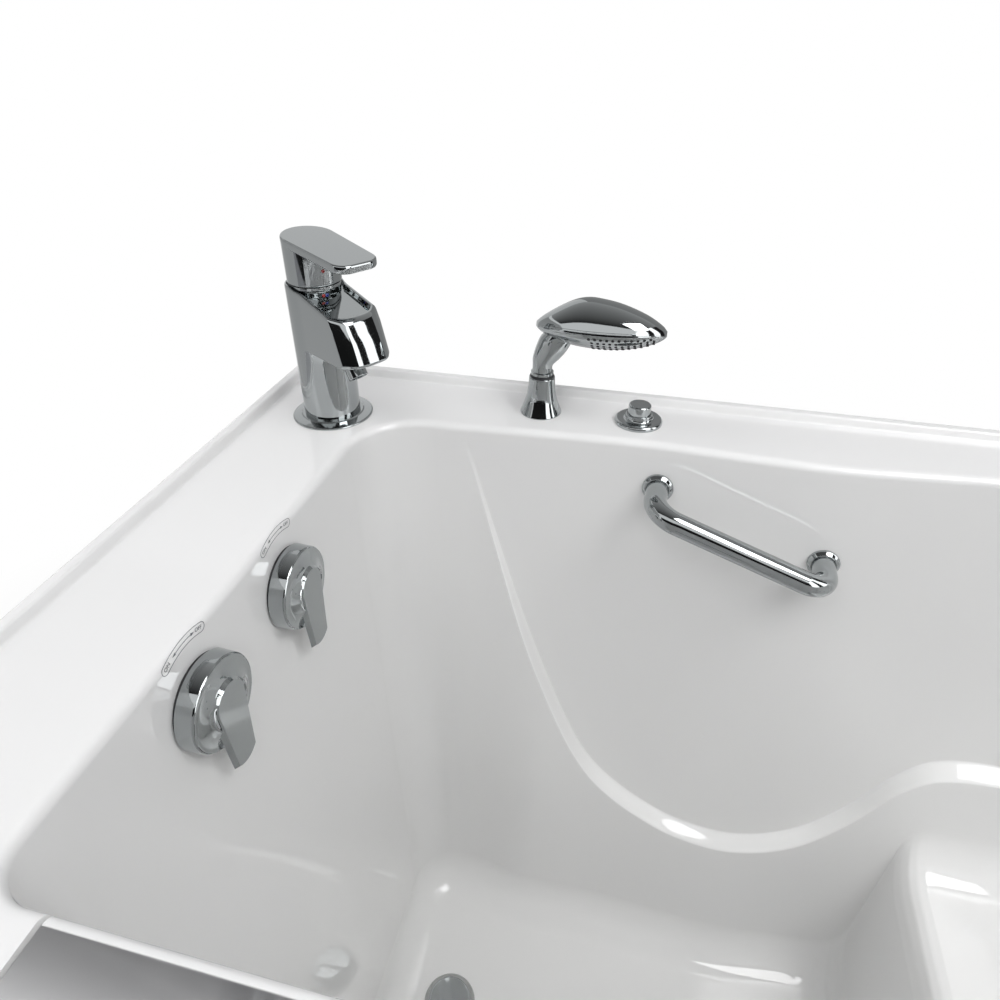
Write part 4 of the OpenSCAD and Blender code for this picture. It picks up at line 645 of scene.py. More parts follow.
def on_back(x, z):
    return shift(x, face_back(x, z), z) @ rot("X", 90 - WALL_LEAN)


def on_right(y, z):
    return shift(face_right(z), y, z) @ rot("Y", REST_LEAN - 90)


def on_riser(y, z):
    """Frame on the flat part of the seat's riser."""
    (x0, z0), (x1, z1) = RISER[4:6]
    lean = degrees(atan((x1 - x0) / (z1 - z0)))
    x = SEAT_X + lerp(x0, x1, (z - z0) / (z1 - z0))
    return shift(x, y, z) @ rot("Y", lean - 90)


def jamb_x(y):
    """Free side of the doorway behind the seal's step."""
    return OPEN_R - DRY_STEP - (y - DRY_Y) * tan(radians(JAMB_TAPER))


def build_shell(fine, fillet, roll):
    """The moulded sheet with the openings of the door and the fittings."""
    shell = grid_skin("tub_shell_moulding", shell_rings(fine, fillet, roll), caps=False)
    out = JAMB_T + CUT_GAP
    boolean(shell, box_tool("door_bay", (OPEN_L - out, FRONT_Y - 30, SILL_Z - out),
                            (OPEN_R + out, FAR_Y, BEND_TOP)))
    plan = [(OPEN_L, FRONT_Y - 1), (OPEN_R, FRONT_Y - 1), (OPEN_R, DRY_Y),
            (jamb_x(DRY_Y), DRY_Y), (jamb_x(FAR_Y), FAR_Y), (OPEN_L, FAR_Y)]
    boolean(shell, slab("door_gap", plan, BEND_TOP - 1, BEND_TOP + 99))
    boolean(shell, box_tool("hem_gap", (HINGE_X - 3.5, -HALF_W - 5, BEND_TOP - 60),
                            (OPEN_R + 1.7, FRONT_Y + 5, BEND_TOP + 90)))
    holes = [drill(r, -SHELL_T - 1, 1, shift(*at, DECK_Z)) for r, at in DECK_HOLES]
    holes += [drill(KNOB_HOLE, -15, 15, on_left(y, KNOB_Z)) for y in KNOB_YS]
    holes += [drill(BAR_HOLE, -15, 15, on_back(*end)) for end in BAR_ENDS]
    holes += [drill(JET_HOLE, -15, 15, on_back(x, JET_Z)) for x in JET_XS]
    holes += [drill(JET_HOLE, -15, 15, on_right(y, JET_Z)) for y in JET_YS]
    holes += [drill(SUCTION_HOLE, -20, 20, on_riser(SUCTION_Y, SUCTION_Z))]
    holes += [drill(DRAIN_HOLE, -20, 20, shift(DRAIN_X, y, FLOOR_Z)) for y in KNOB_YS]
    boolean(shell, joined("holes", holes))
    activate(shell)
    bpy.ops.object.shade_smooth_by_angle(angle=radians(40))
    modify(shell, "WEIGHTED_NORMAL", keep_sharp=True, weight=60)
    return shell


# ---- drain knobs
def on_knob(y):
    """Frame of a knob: Z leaves the wall and X points down."""
    return shift(face_left(KNOB_Z) + KNOB_GAP, y, KNOB_Z) @ rot("Y", 90)


def grip_ring(inset, z):
    """Outline of the grip: round over the axis, with a blunt tip below the drum."""
    plan = ([around((-4, 0), GRIP_R - inset, a) for a in range(90, 271, 5)]
            + [around((KNOB_R + 5.5, 0), 22 - inset, a) for a in range(-40, 41, 5)])
    return [(x, y, z) for x, y in plan]


def build_knob(name, y):
    """Drum with a hollow face, and the grip that stands out of it."""
    hollow = [(lerp(KNOB_R - 3, GRIP_R, k / 10), RIM_H + 6 * (k / 10) ** 1.8)
              for k in range(11)]
    knob = turned(name, [
        (0, -SPINDLE_L), (SPINDLE_R, -SPINDLE_L), (SPINDLE_R, 0), (KNOB_R - 1.6, 0),
        (KNOB_R - 1.6, -1.3), (KNOB_R - 0.2, -1.3), (KNOB_R, -1), (KNOB_R - 0.7, RIM_H - 1.9),
        (KNOB_R - 1.1, RIM_H - 0.9), (KNOB_R - 1.9, RIM_H - 0.1), *hollow, (0, RIM_H + 6)], 96)
    grip = grid_skin("grip", [grip_ring(0, RIM_H - 4), grip_ring(0, KNOB_H - 4.2),
                              grip_ring(3.4, KNOB_H)])
    boolean(grip, turned("undercut", [(KNOB_R - 3, 0), (KNOB_R + 60, 0),
                                      (KNOB_R + 60, KNOB_H - 4.6), (KNOB_R - 3, KNOB_H - 4.6)],
                         72, closed=True))
    boolean(knob, grip, "UNION")
    soften(knob, 0.5, 3, 24)
    return place(knob, on_knob(y))


def build_gasket(name, y):
    """A ring cut to the lean of the wall behind it."""
    ring = place(turned(name, [(12, -8), (KNOB_R - 1.8, -8), (KNOB_R - 1.8, -0.3), (12, -0.3)],
                        72, closed=True), on_knob(y))
    wall = on_left(y, KNOB_Z)
    edit_all(ring)
    bpy.ops.mesh.bisect(plane_co=wall @ Vector((0, 0, 0.2 * MM)),
                        plane_no=wall.to_3x3() @ Vector((0, 0, 1)),
                        use_fill=True, clear_inner=True)
    close_edit()
    soften(ring, 0.2)
    return ring


def strip_outline(mid, half, low, high):
    """Outline of a strip bent round the origin, with round ends."""
    turns = [lerp(low, high, k / 20) for k in range(21)]
    return ([around((0, 0), mid + half, a) for a in turns]
            + [around(around((0, 0), mid, high), half, high + 22.5 * k) for k in range(1, 8)]
            + [around((0, 0), mid - half, a) for a in reversed(turns)]
            + [around(around((0, 0), mid, low), half, low + 180 + 22.5 * k) for k in range(1, 8)])


def lettering(text, turn):
    """A word that stands on the scale's circle, as a thin mesh."""
    bpy.ops.object.select_all(action="DESELECT")
    bpy.ops.object.text_add()
    word = bpy.context.object
    word.data.body, word.data.size, word.data.extrude = text, LETTER_H * MM, INK_T / 2 * MM
    word.data.align_x, word.data.align_y = "CENTER", "CENTER"
    bpy.ops.object.convert(target="MESH")
    return place(bpy.context.object, rot("Z", turn - 90) @ shift(0, SCALE_R, INK_T / 2))


def build_scale(name, y):
    """The printed scale over a knob: a lined strip with ON, OFF and a double arrow."""
    low, high = SCALE_SPAN
    outer = strip_outline(SCALE_R, SCALE_W, low, high)
    inner = strip_outline(SCALE_R, SCALE_W - INK_W, low, high)
    ring = [(outer, 0), (outer, INK_T), (inner, INK_T), (inner, 0), (outer, 0)]
    parts = [grid_skin("border", [[(*p, z) for p in line] for line, z in ring], caps=False)]
    ends = (lerp(low, high, 0.27), lerp(low, high, 0.7))
    parts.append(slab("shaft", strip_outline(SCALE_R, INK_W / 2, *ends), 0, INK_T))
    for end, way in zip(ends, (-1, 1)):
        parts.append(slab("head", [around((0, 0), SCALE_R, end + 3.4 * way),
                                   around((0, 0), SCALE_R + 1.3, end),
                                   around((0, 0), SCALE_R - 1.3, end)], 0, INK_T))
    parts += [lettering("OFF", lerp(low, high, 0.07)), lettering("ON", lerp(low, high, 0.95))]
    scale = joined(name, parts)
    edit_all(scale)
    close_edit(1e-8)
    return place(scale, on_left(y, KNOB_Z) @ shift(0, 0, 0.02) @ rot("Z", 90))


# ---- hand shower
def head_half(t):
    """Half width of the head along its length, as a share of the widest."""
    return max(1e-4, 1 - abs(t) ** 2.3) ** 0.62


def head_section(t):
    """One section of the head: the dome, the bead of its rim and the crown below."""
    h, lift, x = head_half(t), HEAD_CURL * t * t, t * HEAD_L / 2
    y, rise = HEAD_W / 2 * h, HEAD_UP * curve(HEAD_RISE, t)
    dome = [(x, cos(a) * (y - h), sin(a) * rise + BEAD * h + lift)
            for a in map(radians, range(0, 181, 6))]
    crown = [(x, cos(a) * (y - h), sin(a) * HEAD_DOWN * h - BEAD * h + lift)
             for a in map(radians, range(180, 361, 6))]
    return (dome + [(x, -y, 0.8 * h + lift), (x, -y, -0.8 * h + lift)] + crown
            + [(x, y, -0.8 * h + lift), (x, y, 0.8 * h + lift)])


def on_head():
    """Frame of the head: X along it and Z through its dome."""
    return shift(*SHOWER, DECK_Z) @ shift(HEAD_L / 2 - 8, -4, 98) @ rot("X", -HEAD_ROLL)


def build_handset(name):
    """Domed head, neck and stem in one chromed piece."""
    rings = [head_section(sin(radians(lerp(-86, 86, k / 44)))) for k in range(45)]
    head = place(grid_skin("head", rings), on_head())
    sections = []
    for z in range(50, 99, 3):
        cx, cy, rx, ry = (curve([(row[0], row[k]) for row in SHOWER_NECK], z) for k in range(1, 5))
        sections.append([(cx + rx * cos(a), cy + ry * sin(a), z)
                         for a in (2 * pi * k / 40 for k in range(40))])
    neck = place(grid_skin("neck", sections), shift(*SHOWER, DECK_Z))
    stem = place(turned("stem", [(0, -20), (11, -20), (11, 46.4), (12.2, 46.4), (12.6, 46.8),
                                 (12.6, 49.6), (12.2, 50), (10.9, 50.4), (10.9, 54), (0, 54)], 48),
                 shift(*SHOWER, DECK_Z))
    boolean(head, neck, "UNION")
    boolean(head, stem, "UNION")
    head.name = head.data.name = name
    soften(head, 0.4, 2, 38)
    return head


def build_nozzles(name):
    """Rubber nozzles in rows on the crown below the head, each square to it."""
    jets = []
    for row in (205, 222, 238, 254, 270, 286, 302, 318, 335):
        for k in range(11):
            t = lerp(-0.12, 0.86, (k + 0.5 * (row % 4 // 2)) / 11)
            a, h = radians(row), head_half(t)
            at = Vector((t * HEAD_L / 2, cos(a) * (HEAD_W / 2 - 1) * h,
                         sin(a) * HEAD_DOWN * h - BEAD * h + HEAD_CURL * t * t))
            out = Vector((0, cos(a) * HEAD_DOWN, sin(a) * (HEAD_W / 2 - 1)))
            jet = turned("jet", [(0, -0.6), (1.7, -0.6), (1.6, 0.3), (1.2, 0.5), (0, 0.5)], 10)
            turn = out.to_track_quat("Z", "X").to_matrix().to_4x4()
            jets.append(place(jet, shift(*at) @ turn))
    nozzles = place(joined(name, jets), on_head())
    bpy.ops.object.shade_smooth_by_angle(angle=radians(50))
    return nozzles


# ---- air button and mixer
def build_button_base(name):
    """Thick disc with a rolled edge and the low flared collar of the cap."""
    base = turned(name, [
        (12.6, -24), (14.5, -24), (14.5, 0), (26.4, 0), (26.4, 2.2), (26.2, 3.2), (25.6, 4.2),
        (24.6, 5), (23.4, 5.3), (21.6, 5.2), (17.6, 4.8), (16.4, 5.1), (15.5, 5.9), (14.9, 7),
        (14.6, 8.6), (14.5, 10.2), (14.1, 10.9), (12.6, 11)], 72, closed=True)
    soften(base, 0.2)
    return place(base, shift(*BUTTON, DECK_Z))


def on_mixer():
    """Frame of the mixer: Z up its column and X along its spout."""
    return shift(*MIXER, DECK_Z) @ rot("Z", MIXER_TURN)


def upright(name, section, half):
    """A section in X and Z, extruded to both sides along Y."""
    return place(slab(name, section, -half, half), rot("X", 90))


# Where the spout's sides leave the column, in degrees, and the turns round its back
FLANK = degrees(asin(SPOUT_W / COLUMN_R))
BACK_ARC = [lerp(FLANK, 360 - FLANK, k / 48) for k in range(49)]


def spout_line(reach, inset):
    """Plan of the mixer's body with its front at a reach, drawn in by an inset."""
    half, r, x, c = SPOUT_W - inset, SPOUT_R - inset, reach - SPOUT_R, SPOUT_W - SPOUT_R
    start = COLUMN_R * cos(radians(FLANK))
    side = [(lerp(start, x, k / 10), -half) for k in range(1, 10)]
    front = ([around((x, -c), r, a) for a in range(-90, 1, 9)]
             + [(x + r, lerp(-c, c, k / 8)) for k in range(1, 8)]
             + [around((x, c), r, a) for a in range(0, 91, 9)])
    front = [(px - BULGE * (py / SPOUT_W) ** 2 * clip((px - x) / 10), py) for px, py in front]
    back = [around((0, 0), COLUMN_R - 0.5 * inset, a) for a in BACK_ARC]
    return back + side + front + [(px, -py) for px, py in reversed(side)]


def lid(x):
    """Height of the mixer's sloping top."""
    return COLUMN_H - LID_SLOPE * max(0.0, x + 6)


def build_mixer_body(name):
    """Round column that flows into a dished spout with a bulging front."""
    widest = spout_line(90, 0)
    back, front = len(BACK_ARC), len(widest) - len(BACK_ARC)
    turns = BACK_ARC + [lerp(-FLANK, FLANK, (k + 1) / (front + 1)) for k in range(front)]

    def ring(r, z):
        return [(*around((0, 0), r, a), z) for a in turns]

    def under(share, back_z, front_z):
        """From the column, at share 0, to the spout's full plan, at share 1."""
        return [(lerp(p[0], q[0], share), lerp(p[1], q[1], share),
                 back_z if k < back else front_z)
                for k, (p, q) in enumerate(zip(ring(COLUMN_R, 0), widest))]

    def shelf(reach, inset, fall):
        """Parallel to the lid, a fall below it."""
        return [(x, y, lid(x) - fall) for x, y in spout_line(reach, inset)]

    # the shank and column, the underside, the lip and front, the rolled rim and the dish
    rings = [ring(16, -58), ring(16, 5)] + [ring(COLUMN_R, z) for z in (5, 30, 55, 72)]
    rings += [under(*row) for row in (
        (0.01, 78, 78), (0.03, 80.4, 80.4), (0.06, 83, 83.4), (0.1, 84.6, 86),
        (0.15, 85.2, 87.2), (0.3, 85.5, 87.4), (0.65, 85.8, 86.8), (1, 86, 86))]
    rings += [[(*p, z) for p in spout_line(reach, 0)] for reach, z in (
        (91.8, 86.6), (92.8, 88), (93, 90), (90.6, 97), (88.2, 104), (85.8, 111))]
    rings += [shelf(*row) for row in (
        (82.5, 0, 12), (79.5, 0, 7), (77.5, 0, 3.6), (76.6, 0.2, 2), (75.8, 0.7, 0.9),
        (75, 1.6, 0.2), (74.4, 2.6, 0), (74.2, 4, 0), (74, 4.8, 0.4), (74, 5.2, 1.4),
        (74, 5.4, 3.6), (73.6, 5.8, 4.6), (72.6, 6.6, 5))]
    # the neck rises from the dish, each of its points on the ray of the one outside it
    rays = [atan2(y, x) for x, y, _ in rings[-1]]
    rings += [[(NECK_R * cos(a), NECK_R * sin(a),
                min(lid(NECK_R * cos(a)) - 5, 146)) for a in rays]]
    rings += [[(r * cos(a), r * sin(a), z) for a in rays]
              for r, z in ((NECK_R, 147.3), (NECK_R - 0.7, 148))]
    body = grid_skin(name, rings)
    ball = [around((0, 0), SOCKET_R, a) for a in range(-90, 91, 10)]
    boolean(body, place(turned("socket", ball, 32), shift(*SOCKET_AT)))
    soften(body, 0)
    return place(body, on_mixer())


def build_lever(name):
    """Drum with the slot and bore of the hinge, under a blade with rolled edges."""
    slope = tan(radians(LEVER_FALL))
    drum = turned("drum", [(0, DRUM_LOW), (DRUM_R - 0.9, DRUM_LOW), (DRUM_R - 0.2, DRUM_LOW + 0.8),
                           (DRUM_R - 0.1, DRUM_LOW + 1.6), (DRUM_R - 0.1, 215), (0, 215)], 96)
    edit_all(drum)
    bpy.ops.mesh.bisect(plane_co=(0, 0, (LEVER_TOP - 5) * MM), plane_no=(slope, 0, 1),
                        use_fill=True, clear_outer=True)
    close_edit()
    boolean(drum, upright("heel", [(-30, DRUM_LOW - 2), (-30, DRUM_LOW + 4.9),
                                   (-8, DRUM_LOW - 2)], 40))
    boolean(drum, upright("slot", [(-25, 150), (-23.5, 165.9), (-8.5, 165.9), (-7, 150)], 4.5))
    boolean(drum, place(drill(2.05, -10.5, 10.5, shift(-16, 158.4, 0)), rot("X", 90)))

    def blade_line(inset, fall):
        """Outline of the blade, drawn in by an inset, a fall below its top."""
        c = TIP_W - TIP_R
        plan = ([around((0, 0), DRUM_R - inset, a) for a in range(90, 271, 4)]
                + [(lerp(0, LEVER_L, k / 6), inset - lerp(DRUM_R, TIP_W, k / 6))
                   for k in range(1, 6)]
                + [around((LEVER_L, -c), TIP_R - inset, a) for a in range(-90, 1, 9)]
                + [around((LEVER_L, c), TIP_R - inset, a) for a in range(0, 91, 9)]
                + [(lerp(LEVER_L, 0, k / 6), lerp(TIP_W, DRUM_R, k / 6) - inset)
                   for k in range(1, 6)])
        return [(x, y, LEVER_TOP - x * slope - fall) for x, y in plan]

    blade = grid_skin("blade", [blade_line(*row) for row in (
        (4, 8.6), (2, 8.4), (0.8, 7.8), (0.2, 6.8), (0, 5.6), (0, 2.2), (0.15, 1.4), (0.55, 0.7),
        (1.2, 0.2), (2, 0))])
    lever = joined(name, [drum, blade])
    soften(lever, 0)
    return place(lever, on_mixer())


def build_dot(name, radius, turn, z):
    """A small enamelled lens on a round surface of the mixer."""
    dot = turned(name, [(0, -0.6), (1.8, -0.6), (1.8, 0.15), (1.4, 0.4), (0, 0.5)], 20)
    soften(dot, 0)
    return place(dot, on_mixer() @ rot("Z", turn) @ shift(radius, 0, z) @ rot("Y", 90))


# ---- settings
class TubSizes(bpy.types.PropertyGroup):
    """Sizes of the finish that a user may change"""
    shell_steps: bpy.props.IntProperty(
        name="Shell steps", description="Sections of the shell along the foot well",
        default=64, min=24, max=120)
    lip_fillet: bpy.props.FloatProperty(
        name="Lip fillet", description="Hollow radius at the foot of the rim's lip",
        default=0.003, min=0.001, max=0.005, precision=4, subtype="DISTANCE")
    lip_roll: bpy.props.FloatProperty(
        name="Lip roll", description="Radius of the lip's rolled edges",
        default=0.0032, min=0.001, max=0.004, precision=4, subtype="DISTANCE")


class TubColours(bpy.types.PropertyGroup):
    """Colours of the finish that a user may change"""
    acrylic: bpy.props.FloatVectorProperty(
        name="Acrylic", description="Colour of the moulded acrylic",
        default=linear("EDEDEC")[:3], min=0, max=1, subtype="COLOR")
    chrome: bpy.props.FloatVectorProperty(
        name="Chrome", description="Reflectance colour of the chrome",
        default=linear("B0B4B5")[:3], min=0, max=1, subtype="COLOR")
    floor: bpy.props.FloatVectorProperty(
        name="Studio floor", description="Colour of the studio's floor",
        default=linear("F7F7F7")[:3], min=0, max=1, subtype="COLOR")


# Camera: place in metres, turn in degrees and focal length, fitted to the photograph
CAMERA_AT, CAMERA_TURN, CAMERA_LENS = (-0.2055, -0.416, 1.383), (55.966, 0, 13.77), 26.17
WORLD_LEVEL, WHITE = 0.3, (1, 1, 1, 1)
# Distances from the tub, in metres, between which the floor fades to white for the camera
FLOOR_FADE = (0.9, 2.2)
# Lamps, in metres and watts: name, place, aim, size, power, shown by polished surfaces
LAMPS = [("front_overhead_softbox", (-0.3, -1.3, 2.8), (-0.1, 0.2, 0.8), (2.0, 1.2), 24, False),
         ("left_softbox", (-2.2, 0.0, 2.4), (0.3, 0.1, 0.7), (1.4, 1.4), 13, False),
         ("right_overhead_softbox", (0.9, -0.3, 2.6), (0.3, 0.1, 0.5), (1.0, 1.0), 20, True)]
# Cards that polished surfaces show: name, place, aim, size, grey at the foot and the head
CARDS = [("grey_ceiling", (0, 0.9, 3.4), (0, 0.9, 0), (7, 5), 0.015, 0.6),
         ("left_backdrop", (-2.2, 1.7, 1.3), (-2.2, 0, 1.3), (3, 2.8), 0.85, 0.72),
         ("right_backdrop", (1.8, 1.7, 1.3), (1.8, 0, 1.3), (5, 2.8), 0.36, 0.32),
         ("dark_camera_wall", (0, -3.2, 1.45), (0, 0, 1.45), (7, 2.8), 0.01, 0.02),
         ("dark_right_wall", (2.4, -0.8, 1.8), (0, -0.8, 1.8), (5.5, 3.0), 0.02, 0.02),
         ("near_white_strip", (2.3, -1.7, 1.9), (0, -1.7, 1.9), (1.7, 3.0), 2.5, 2.5),
         ("far_white_strip", (2.3, 0.2, 1.9), (0, 0.2, 1.9), (0.8, 3.0), 2.5, 2.5),
         ("grey_left_wall", (-2.6, 0, 1.3), (0, 0, 1.3), (3.4, 2.4), 0.55, 0.4)]


# ---- operators
class TUB_OT_shell(bpy.types.Operator):
    """Build the moulded tub shell"""
    bl_idname = "tub.shell"
    bl_label = "Tub shell"

    def execute(self, context):
        sizes = context.scene.tub_sizes
        shell = build_shell(sizes.shell_steps, sizes.lip_fillet / MM, sizes.lip_roll / MM)
        finish(shell, "tub", "white_acrylic", finish_of("acrylic"), "tub_shell")
        return {"FINISHED"}


# Pieces whose solid form is already right: finish and eased edge in mm
DOOR = {"door_frame": ("sheet", 0.5), "door_shell": ("sheet", 1.2), "door_skin": ("sheet", 0.5),
        "door_cap": ("acrylic", 1.5), "door_seal": ("rubber", 0.5),
        "hinge_fixed_leaves": ("steel", 0.3), "hinge_door_leaves": ("steel", 0.3),
        "hinge_pins": ("steel", 0.3)}
LATCH = {"latch_keepers": ("steel", 0.4), "latch_guides": ("steel", 0.3),
         "latch_lever": ("chrome", 1.2), "latch_pinion": ("steel", 0.15),
         "latch_bar": ("steel", 0.3)}
CABINET = {"front_panel": ("sheet", 0.5), "left_end_panel": ("sheet", 0.5),
           "right_end_panel": ("sheet", 0.5), "base_frame": ("steel", 0.8),
           "levelling_feet": ("rubber", 0.6), "foot_lock_nuts": ("steel", 0.5),
           "panel_screws": ("chrome", 0.2)}
MIXER_PARTS = {"faucet_flange": ("chrome", 0.4), "faucet_collar": ("chrome", 0.4),
               "faucet_aerator": ("chrome", 0.6), "supply_tails": ("steel", 0.4),
               "deck_lock_nuts": ("steel", 0.5)}
SHOWER_PARTS = {"shower_holder": ("chrome", 0.5), "holder_insert": ("abs", 0.2)}
BUTTON_PARTS = {"button_cap": ("chrome", 0.6), "air_bellows": ("abs", 0.6),
                "air_switch_tube": ("rubber", 0.0)}
BAR_PARTS = {"grab_bar": ("chrome", 0.0), "grab_bar_flanges": ("chrome", 0.5),
             "wall_lock_nuts": ("steel", 0.4)}
KNOB_PARTS = {"knob_bearings": ("abs", 0.6), "drain_cables": ("rubber", 0.0)}
DRAINS = {"drain_bodies": ("steel", 0.6), "drain_stopper_near": ("chrome", 0.5),
          "drain_stopper_far": ("chrome", 0.5)}
JETS = {"jet_housings": ("chrome", 0.4), "jet_nozzle_1": ("abs", 0.3),
        "jet_nozzle_2": ("abs", 0.3), "jet_nozzle_3": ("abs", 0.3), "jet_nozzle_4": ("abs", 0.3),
        "jet_manifold": ("pvc", 0.5), "suction_body": ("pvc", 0.5),
        "suction_cover": ("acrylic", 0.5), "suction_pipe": ("pvc", 0.5),
        "pump_housing": ("abs", 1.5), "pump_motor": ("enamel", 0.8), "pump_base": ("steel", 0.6)}
KEPT_FLATS = ("base_frame",)


def node_slot(node):
    """The record's material slot of a node."""
    for part in frame["record"]["subparts"]:
        if part["node"] == node:
            return part["material_slot"]
    raise ValueError("no slot for " + node)


def dress(table):
    """Replaces each node of a table with its refined copy in its finish."""
    for node, (key, edge) in table.items():
        piece = refined(node, node + "_finished", edge)
        body = next(b for b, o in frame["bodies"].items() if o == frame["nodes"][node].parent)
        finish(piece, body, node_slot(node), finish_of(key), node)


def chromed(obj, body, node):
    """Finishes a chromed piece that stands for a node."""
    finish(obj, body, "polished_chrome", finish_of("chrome"), node)


class TUB_OT_door(bpy.types.Operator):
    """Build the door, its frame, seal and hinges"""
    bl_idname = "tub.door"
    bl_label = "Door and hinges"

    def execute(self, context):
        dress(DOOR)
        return {"FINISHED"}


class TUB_OT_latch(bpy.types.Operator):
    """Build the door's latch"""
    bl_idname = "tub.latch"
    bl_label = "Latch"

    def execute(self, context):
        dress(LATCH)
        return {"FINISHED"}


class TUB_OT_cabinet(bpy.types.Operator):
    """Build the panels, the steel frame and its feet"""
    bl_idname = "tub.cabinet"
    bl_label = "Panels and frame"

    def execute(self, context):
        dress(CABINET)
        return {"FINISHED"}


class TUB_OT_mixer(bpy.types.Operator):
    """Build the deck mixer with its temperature dots"""
    bl_idname = "tub.mixer"
    bl_label = "Mixer"

    def execute(self, context):
        dress(MIXER_PARTS)
        chromed(build_mixer_body("mixer_body_finished"), "tub", "faucet_body")
        chromed(build_lever("mixer_lever_finished"), "mixer_lever", "faucet_lever")
        for name, key, body, radius, turn, z in DOTS:
            finish(build_dot(name, radius, turn, z), body, "dark_plastic", finish_of(key))
        return {"FINISHED"}


class TUB_OT_hand_shower(bpy.types.Operator):
    """Build the hand shower and its holder"""
    bl_idname = "tub.hand_shower"
    bl_label = "Hand shower"

    def execute(self, context):
        dress(SHOWER_PARTS)
        chromed(build_handset("handset_finished"), "hand_shower", "shower_handset")
        finish(build_nozzles("spray_nozzles"), "hand_shower", "dark_plastic",
               finish_of("rubber"), "shower_spray_face")
        return {"FINISHED"}


class TUB_OT_air_button(bpy.types.Operator):
    """Build the air button and what it drives"""
    bl_idname = "tub.air_button"
    bl_label = "Air button"

    def execute(self, context):
        dress(BUTTON_PARTS)
        chromed(build_button_base("button_base_finished"), "tub", "button_base")
        return {"FINISHED"}


class TUB_OT_grab_bar(bpy.types.Operator):
    """Build the grab bar and its flanges"""
    bl_idname = "tub.grab_bar"
    bl_label = "Grab bar"

    def execute(self, context):
        dress(BAR_PARTS)
        return {"FINISHED"}


class TUB_OT_drain_knobs(bpy.types.Operator):
    """Build the drain knobs with their gaskets and printed scales"""
    bl_idname = "tub.drain_knobs"
    bl_label = "Drain knobs"

    def execute(self, context):
        dress(KNOB_PARTS)
        gaskets = [build_gasket("gasket", y) for y in KNOB_YS]
        finish(joined("knob_gaskets_finished", gaskets), "tub", "dark_plastic",
               finish_of("abs"), "knob_gaskets")
        for side, y in zip(("near", "far"), KNOB_YS):
            chromed(build_knob("knob_%s_finished" % side, y), "knob_" + side,
                    "drain_knob_" + side)
            finish(build_scale("knob_scale_" + side, y), "tub", "dark_plastic", finish_of("ink"))
        return {"FINISHED"}


class TUB_OT_drains(bpy.types.Operator):
    """Build the drains and their stoppers"""
    bl_idname = "tub.drains"
    bl_label = "Drains"

    def execute(self, context):
        dress(DRAINS)
        return {"FINISHED"}


class TUB_OT_jets(bpy.types.Operator):
    """Build the water jets, their pipes and the pump"""
    bl_idname = "tub.jets"
    bl_label = "Jets and pump"

    def execute(self, context):
        dress(JETS)
        return {"FINISHED"}


def aimed(obj, at, aim):
    """Stands a lamp or card at a place and turns it to face another."""
    obj.location = at
    obj.rotation_euler = (Vector(aim) - Vector(at)).to_track_quat("-Z", "Y").to_euler()


def softbox(name, at, aim, size, power, mirrored):
    """A rectangular lamp, in metres and watts."""
    data = bpy.data.lights.new(name, "AREA")
    data.shape = "RECTANGLE"
    data.size, data.size_y = size
    data.energy = power
    obj = bpy.data.objects.new(name, data)
    obj.visible_glossy = mirrored
    aimed(obj, at, aim)
    bpy.context.scene.collection.objects.link(obj)


def reflector_card(name, at, aim, size, low, high):
    """A card whose grey runs from foot to head, and that only polished surfaces show."""
    bpy.ops.object.select_all(action="DESELECT")
    bpy.ops.mesh.primitive_plane_add(size=1)
    card = bpy.context.object
    card.name = name
    card.scale = (*size, 1)
    aimed(card, at, aim)
    mat = bpy.data.materials.new(name + "_paper")
    mat.use_nodes = True
    tree = mat.node_tree
    where = add(tree, "TexCoord")
    parts = add(tree, "SeparateXYZ", {"Vector": where.outputs["Object"]})
    level = add(tree, "MapRange", {
        "Value": parts.outputs["Y"], "From Min": -0.5, "From Max": 0.5,
        "To Min": low, "To Max": high})
    glow = add(tree, "Emission", {"Color": WHITE, "Strength": level.outputs["Result"]})
    tree.links.new(glow.outputs[0], tree.nodes["Material Output"].inputs["Surface"])
    card.data.materials.append(mat)
    card.visible_camera = card.visible_diffuse = card.visible_shadow = False
    card.visible_transmission = False


def studio_camera():
    data = bpy.data.cameras.new("camera")
    data.lens, data.sensor_width = CAMERA_LENS, 36.0
    camera = bpy.data.objects.new("camera", data)
    camera.location = CAMERA_AT
    camera.rotation_euler = [radians(a) for a in CAMERA_TURN]
    bpy.context.scene.collection.objects.link(camera)
    bpy.context.scene.camera = camera


def studio_world():
    """Soft light all round, which cameras, mirrors and glass see as white."""
    world = bpy.data.worlds.new("studio")
    bpy.context.scene.world = world
    world.use_nodes = True
    tree = world.node_tree
    tree.nodes.clear()
    path = add(tree, "LightPath")
    seen = path.outputs["Is Camera Ray"]
    for ray in ("Is Glossy Ray", "Is Transmission Ray"):
        seen = add(tree, "Math", {0: seen, 1: path.outputs[ray]},
                   operation="MAXIMUM").outputs["Value"]
    light = add(tree, "Background", {"Color": linear("F4F4FA"), "Strength": WORLD_LEVEL})
    white = add(tree, "Background", {"Color": WHITE, "Strength": 1.0})
    mix = add(tree, "MixShader", {0: seen, 1: light.outputs[0], 2: white.outputs[0]})
    add(tree, "OutputWorld", {"Surface": mix.outputs[0]})


